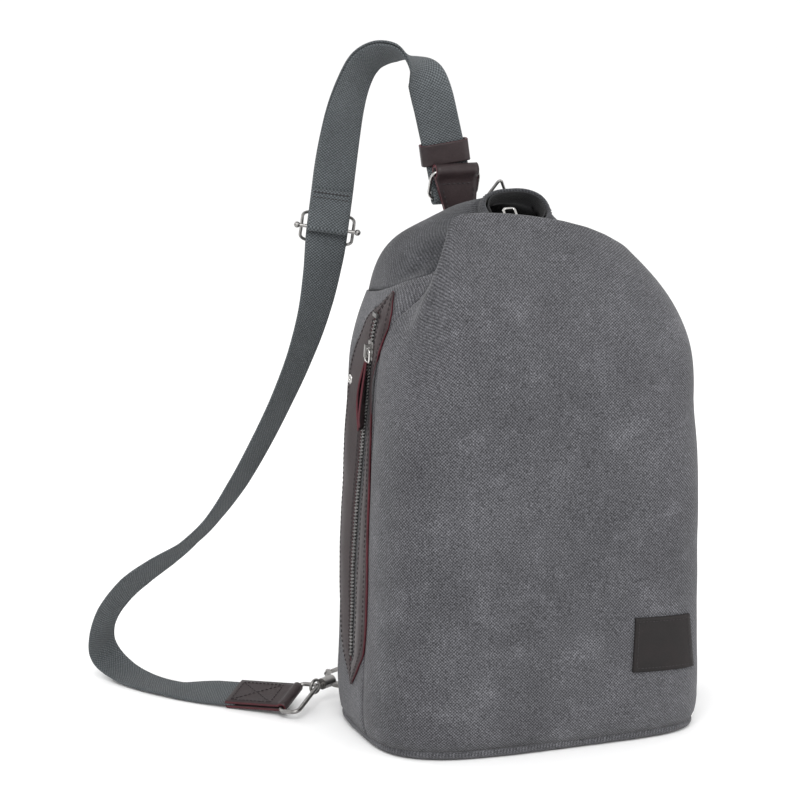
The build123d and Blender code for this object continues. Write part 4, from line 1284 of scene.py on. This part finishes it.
def end_box(side):
    """The stitched box with its crossed diagonals on one face of the strap's end."""
    half, low, high = 11.6, -3.5, 29.0
    corners = [(-half, low), (half, low), (half, high), (-half, high), (-half, low)]
    lines = [corners, [(-half, low), (half, high)], [(-half, high), (half, low)]]
    rows = []
    for line in lines:
        points = [end_place(x, s, side) for x, s in line]
        rows.append((points, [END_OUT * side] * len(points)))
    return rows


stitch_object("strap_end_stitches", end_box(1) + end_box(-1), "root",
              pitch=3.2, length=2.3, radius=0.36)

for name, x in (("left_ring_tab", -79), ("right_ring_tab", 79)):
    folded_tab(name + "_leather", Vector((x, 90, 16)), -Y, X, Z, 1.65, 1.4, even(6.8), 13.5, [name])
# The closure's two tabs: name, bar, direction of the tail, bar's radius, thickness, half width, length.
for name, bar, tail, radius, thick, half, length in (
    ("closure_catch_tab", (-2, 41.5, 371), (0, 10, -15), 1.5, 1.3, 6.4, 17.0),
    ("closure_hook_tab", (-6.7, 1.5, 356.0), (0, -6.0, -10.0), 1.35, 1.1, 2.9, 10.0),
):
    tail = Vector(tail).normalized()
    folded_tab(name + "_leather", Vector(bar), tail, X.cross(tail), X, radius, thick, even(half), length,
               [name])


# ---- webbing turned round its bars
def short_band(name, profile, origin, along, out, across):
    """A short piece of webbing through (along, out) points beside a bar."""
    line = [origin + along * a + out * o for a, o in profile]
    frames = band_frames(line, [across] * len(line))
    return finish_piece(band(name, frames, WEB_WIDTH - 0.4, WEB_THICK, [WEBBING]), "root")


RING_BAR = Vector((-21.2, 77.0, 370.2))
turn_profile = [(7.0, -0.4), (4.6, -1.3)]
turn_profile += [(3.45 * cos(radians(a)), -3.45 * sin(radians(a))) for a in range(40, 321, 20)]
turn_profile += [(4.6, 2.6), (6.6, 2.9)]
short_band("strap_ring_turn", turn_profile, RING_BAR, Z, Y, X)

slider_along = (route_points[SLIDER_INDEX] - route_points[SLIDER_INDEX - 1]).normalized()
slider_width = route_widths[SLIDER_INDEX]
slider_across = (slider_width - slider_along * slider_width.dot(slider_along)).normalized()
slider_out = slider_along.cross(slider_across)
slider_place = route_points[SLIDER_INDEX]
BAR_HEIGHT = LAYER_STEP + WEB_THICK / 2 + 1.6
SEWN_RADIUS = 2.4         # of the webbing's turn round the adjuster's bar
sewn_profile = [(2.5, LAYER_STEP - 0.2)]
for angle in range(300, 59, -20):
    sewn_profile.append((SEWN_RADIUS * cos(radians(angle)), BAR_HEIGHT + SEWN_RADIUS * sin(radians(angle))))
sewn_profile += [(back, LAYER_STEP + out) for back, out in ((8, 3.4), (13, 2.1), (20, 1.8), (28, 1.7))]
short_band("strap_sewn_end", sewn_profile, slider_place, -slider_along, slider_out, slider_across)


def sewn_row(up):
    middle = slider_place - slider_along * up + slider_out * (LAYER_STEP + 2.7)
    points = [middle + slider_across * x for x in np.linspace(-13.5, 13.5, 10)]
    return points, [slider_out] * len(points)


stitch_object("strap_sewn_stitches", [sewn_row(25.0), sewn_row(21.5)], "root",
              pitch=2.6, length=2.0, radius=0.4)

# ---- label
LABEL_CORNERS = [(55.5, 93), (100.3, 89.6), (105.9, 49.5), (54.6, 53)]


def label_place(u, v):
    top = [LABEL_CORNERS[0][i] * (1 - u) + LABEL_CORNERS[1][i] * u for i in (0, 1)]
    low = [LABEL_CORNERS[3][i] * (1 - u) + LABEL_CORNERS[2][i] * u for i in (0, 1)]
    return front_skin(low[0] * (1 - v) + top[0] * v, low[1] * (1 - v) + top[1] * v)


def label_row(points):
    found = [label_place(u, v) for u, v in points]
    return [place + normal * 1.55 for place, normal in found], [normal for place, normal in found]


label_rows = []
for i in range(21):
    found = [label_place(j / 24, i / 20) for j in range(25)]
    label_rows.append([place + normal * 0.15 for place, normal in found])
label = thicken(grid_object("label_patch_leather", label_rows, [LABEL_LEATHER]), 1.4, offset=1.0)
finish_piece(label, "root", ["label_patch"])
border = [(0.06, v) for v in np.linspace(0.07, 0.93, 14)] + [(u, 0.93) for u in np.linspace(0.1, 0.9, 14)]
border += [(0.94, v) for v in np.linspace(0.93, 0.07, 14)] + [(u, 0.07) for u in np.linspace(0.9, 0.06, 14)]
stitch_object("label_stitches", [label_row(border)], "root",
              pitch=2.8, length=2.0, radius=0.28)

# ---- metal and hidden pieces kept from the CAD
NODE_LOOKS = [
    (BOARD, "board", ["base_board"]),
    (ZIP_METAL, "zip_metal", ["zip_top_stop", "zip_bottom_stop"]),
    (GUNMETAL, "zip_metal", ["zip_slider"]),
    (NICKEL, "zip_metal", ["zip_pull_ring"]),
    (GUNMETAL, "hardware", ["closure_catch", "adjuster_frame", "adjuster_bar", "strap_end_ring",
                            "hook_swivel", "hook_body", "hook_gate", "hook_gate_pin"]),
    (NICKEL, "hardware", ["closure_hook", "top_ring", "hook_gate_spring", "left_ring", "right_ring"]),
]
for material, slot, names in NODE_LOOKS:
    for name in names:
        cad_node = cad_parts[name]
        cad_node.data.materials.clear()
        cad_node.data.materials.append(material)


# ---- studio
def add_floor():
    """A plain pale floor that curves up into a backdrop behind the bag."""
    material, bsdf = new_material("paper_floor", [("Roughness", 0.9), ("Specular IOR Level", 0.1)])
    grain = noise_value(material, 3.0, 2.0)
    join(material, ramp(material, grain, [(0.3, 0.93), (0.7, 0.95)]), bsdf, "Base Color")
    across = 9000.0
    profile = [(-9000, 0), (2500, 0), (3400, 60), (4200, 400), (4700, 1000), (4900, 2000), (4950, 7000)]
    rows = [[(x, y, z) for x in (-across, 0, across)] for y, z in profile]
    grid_object("floor", rows, [material])


def add_light(name, place, target, size, power):
    data = bpy.data.lights.new(name, "AREA")
    data.shape = "DISK"
    data.size = size
    data.energy = power
    light = bpy.data.objects.new(name, data)
    scene.collection.objects.link(light)
    aim(light, Vector(place), Vector(target) - Vector(place))


add_floor()
MIDDLE = (-0.03, 0.0, 0.2)
add_light("key", (-0.9, -2.0, 2.2), MIDDLE, 1.6, 42.0)
add_light("fill", (2.0, -1.5, 1.2), MIDDLE, 1.8, 16.0)
add_light("rim", (-1.6, 1.6, 1.6), MIDDLE, 1.2, 14.0)
world = bpy.data.worlds.new("studio")
world.use_nodes = True
background = world.node_tree.nodes["Background"].inputs
background[0].default_value = (1.0, 1.0, 1.0, 1.0)
background[1].default_value = 1.0
scene.world = world
scene.view_settings.view_transform = "Standard"
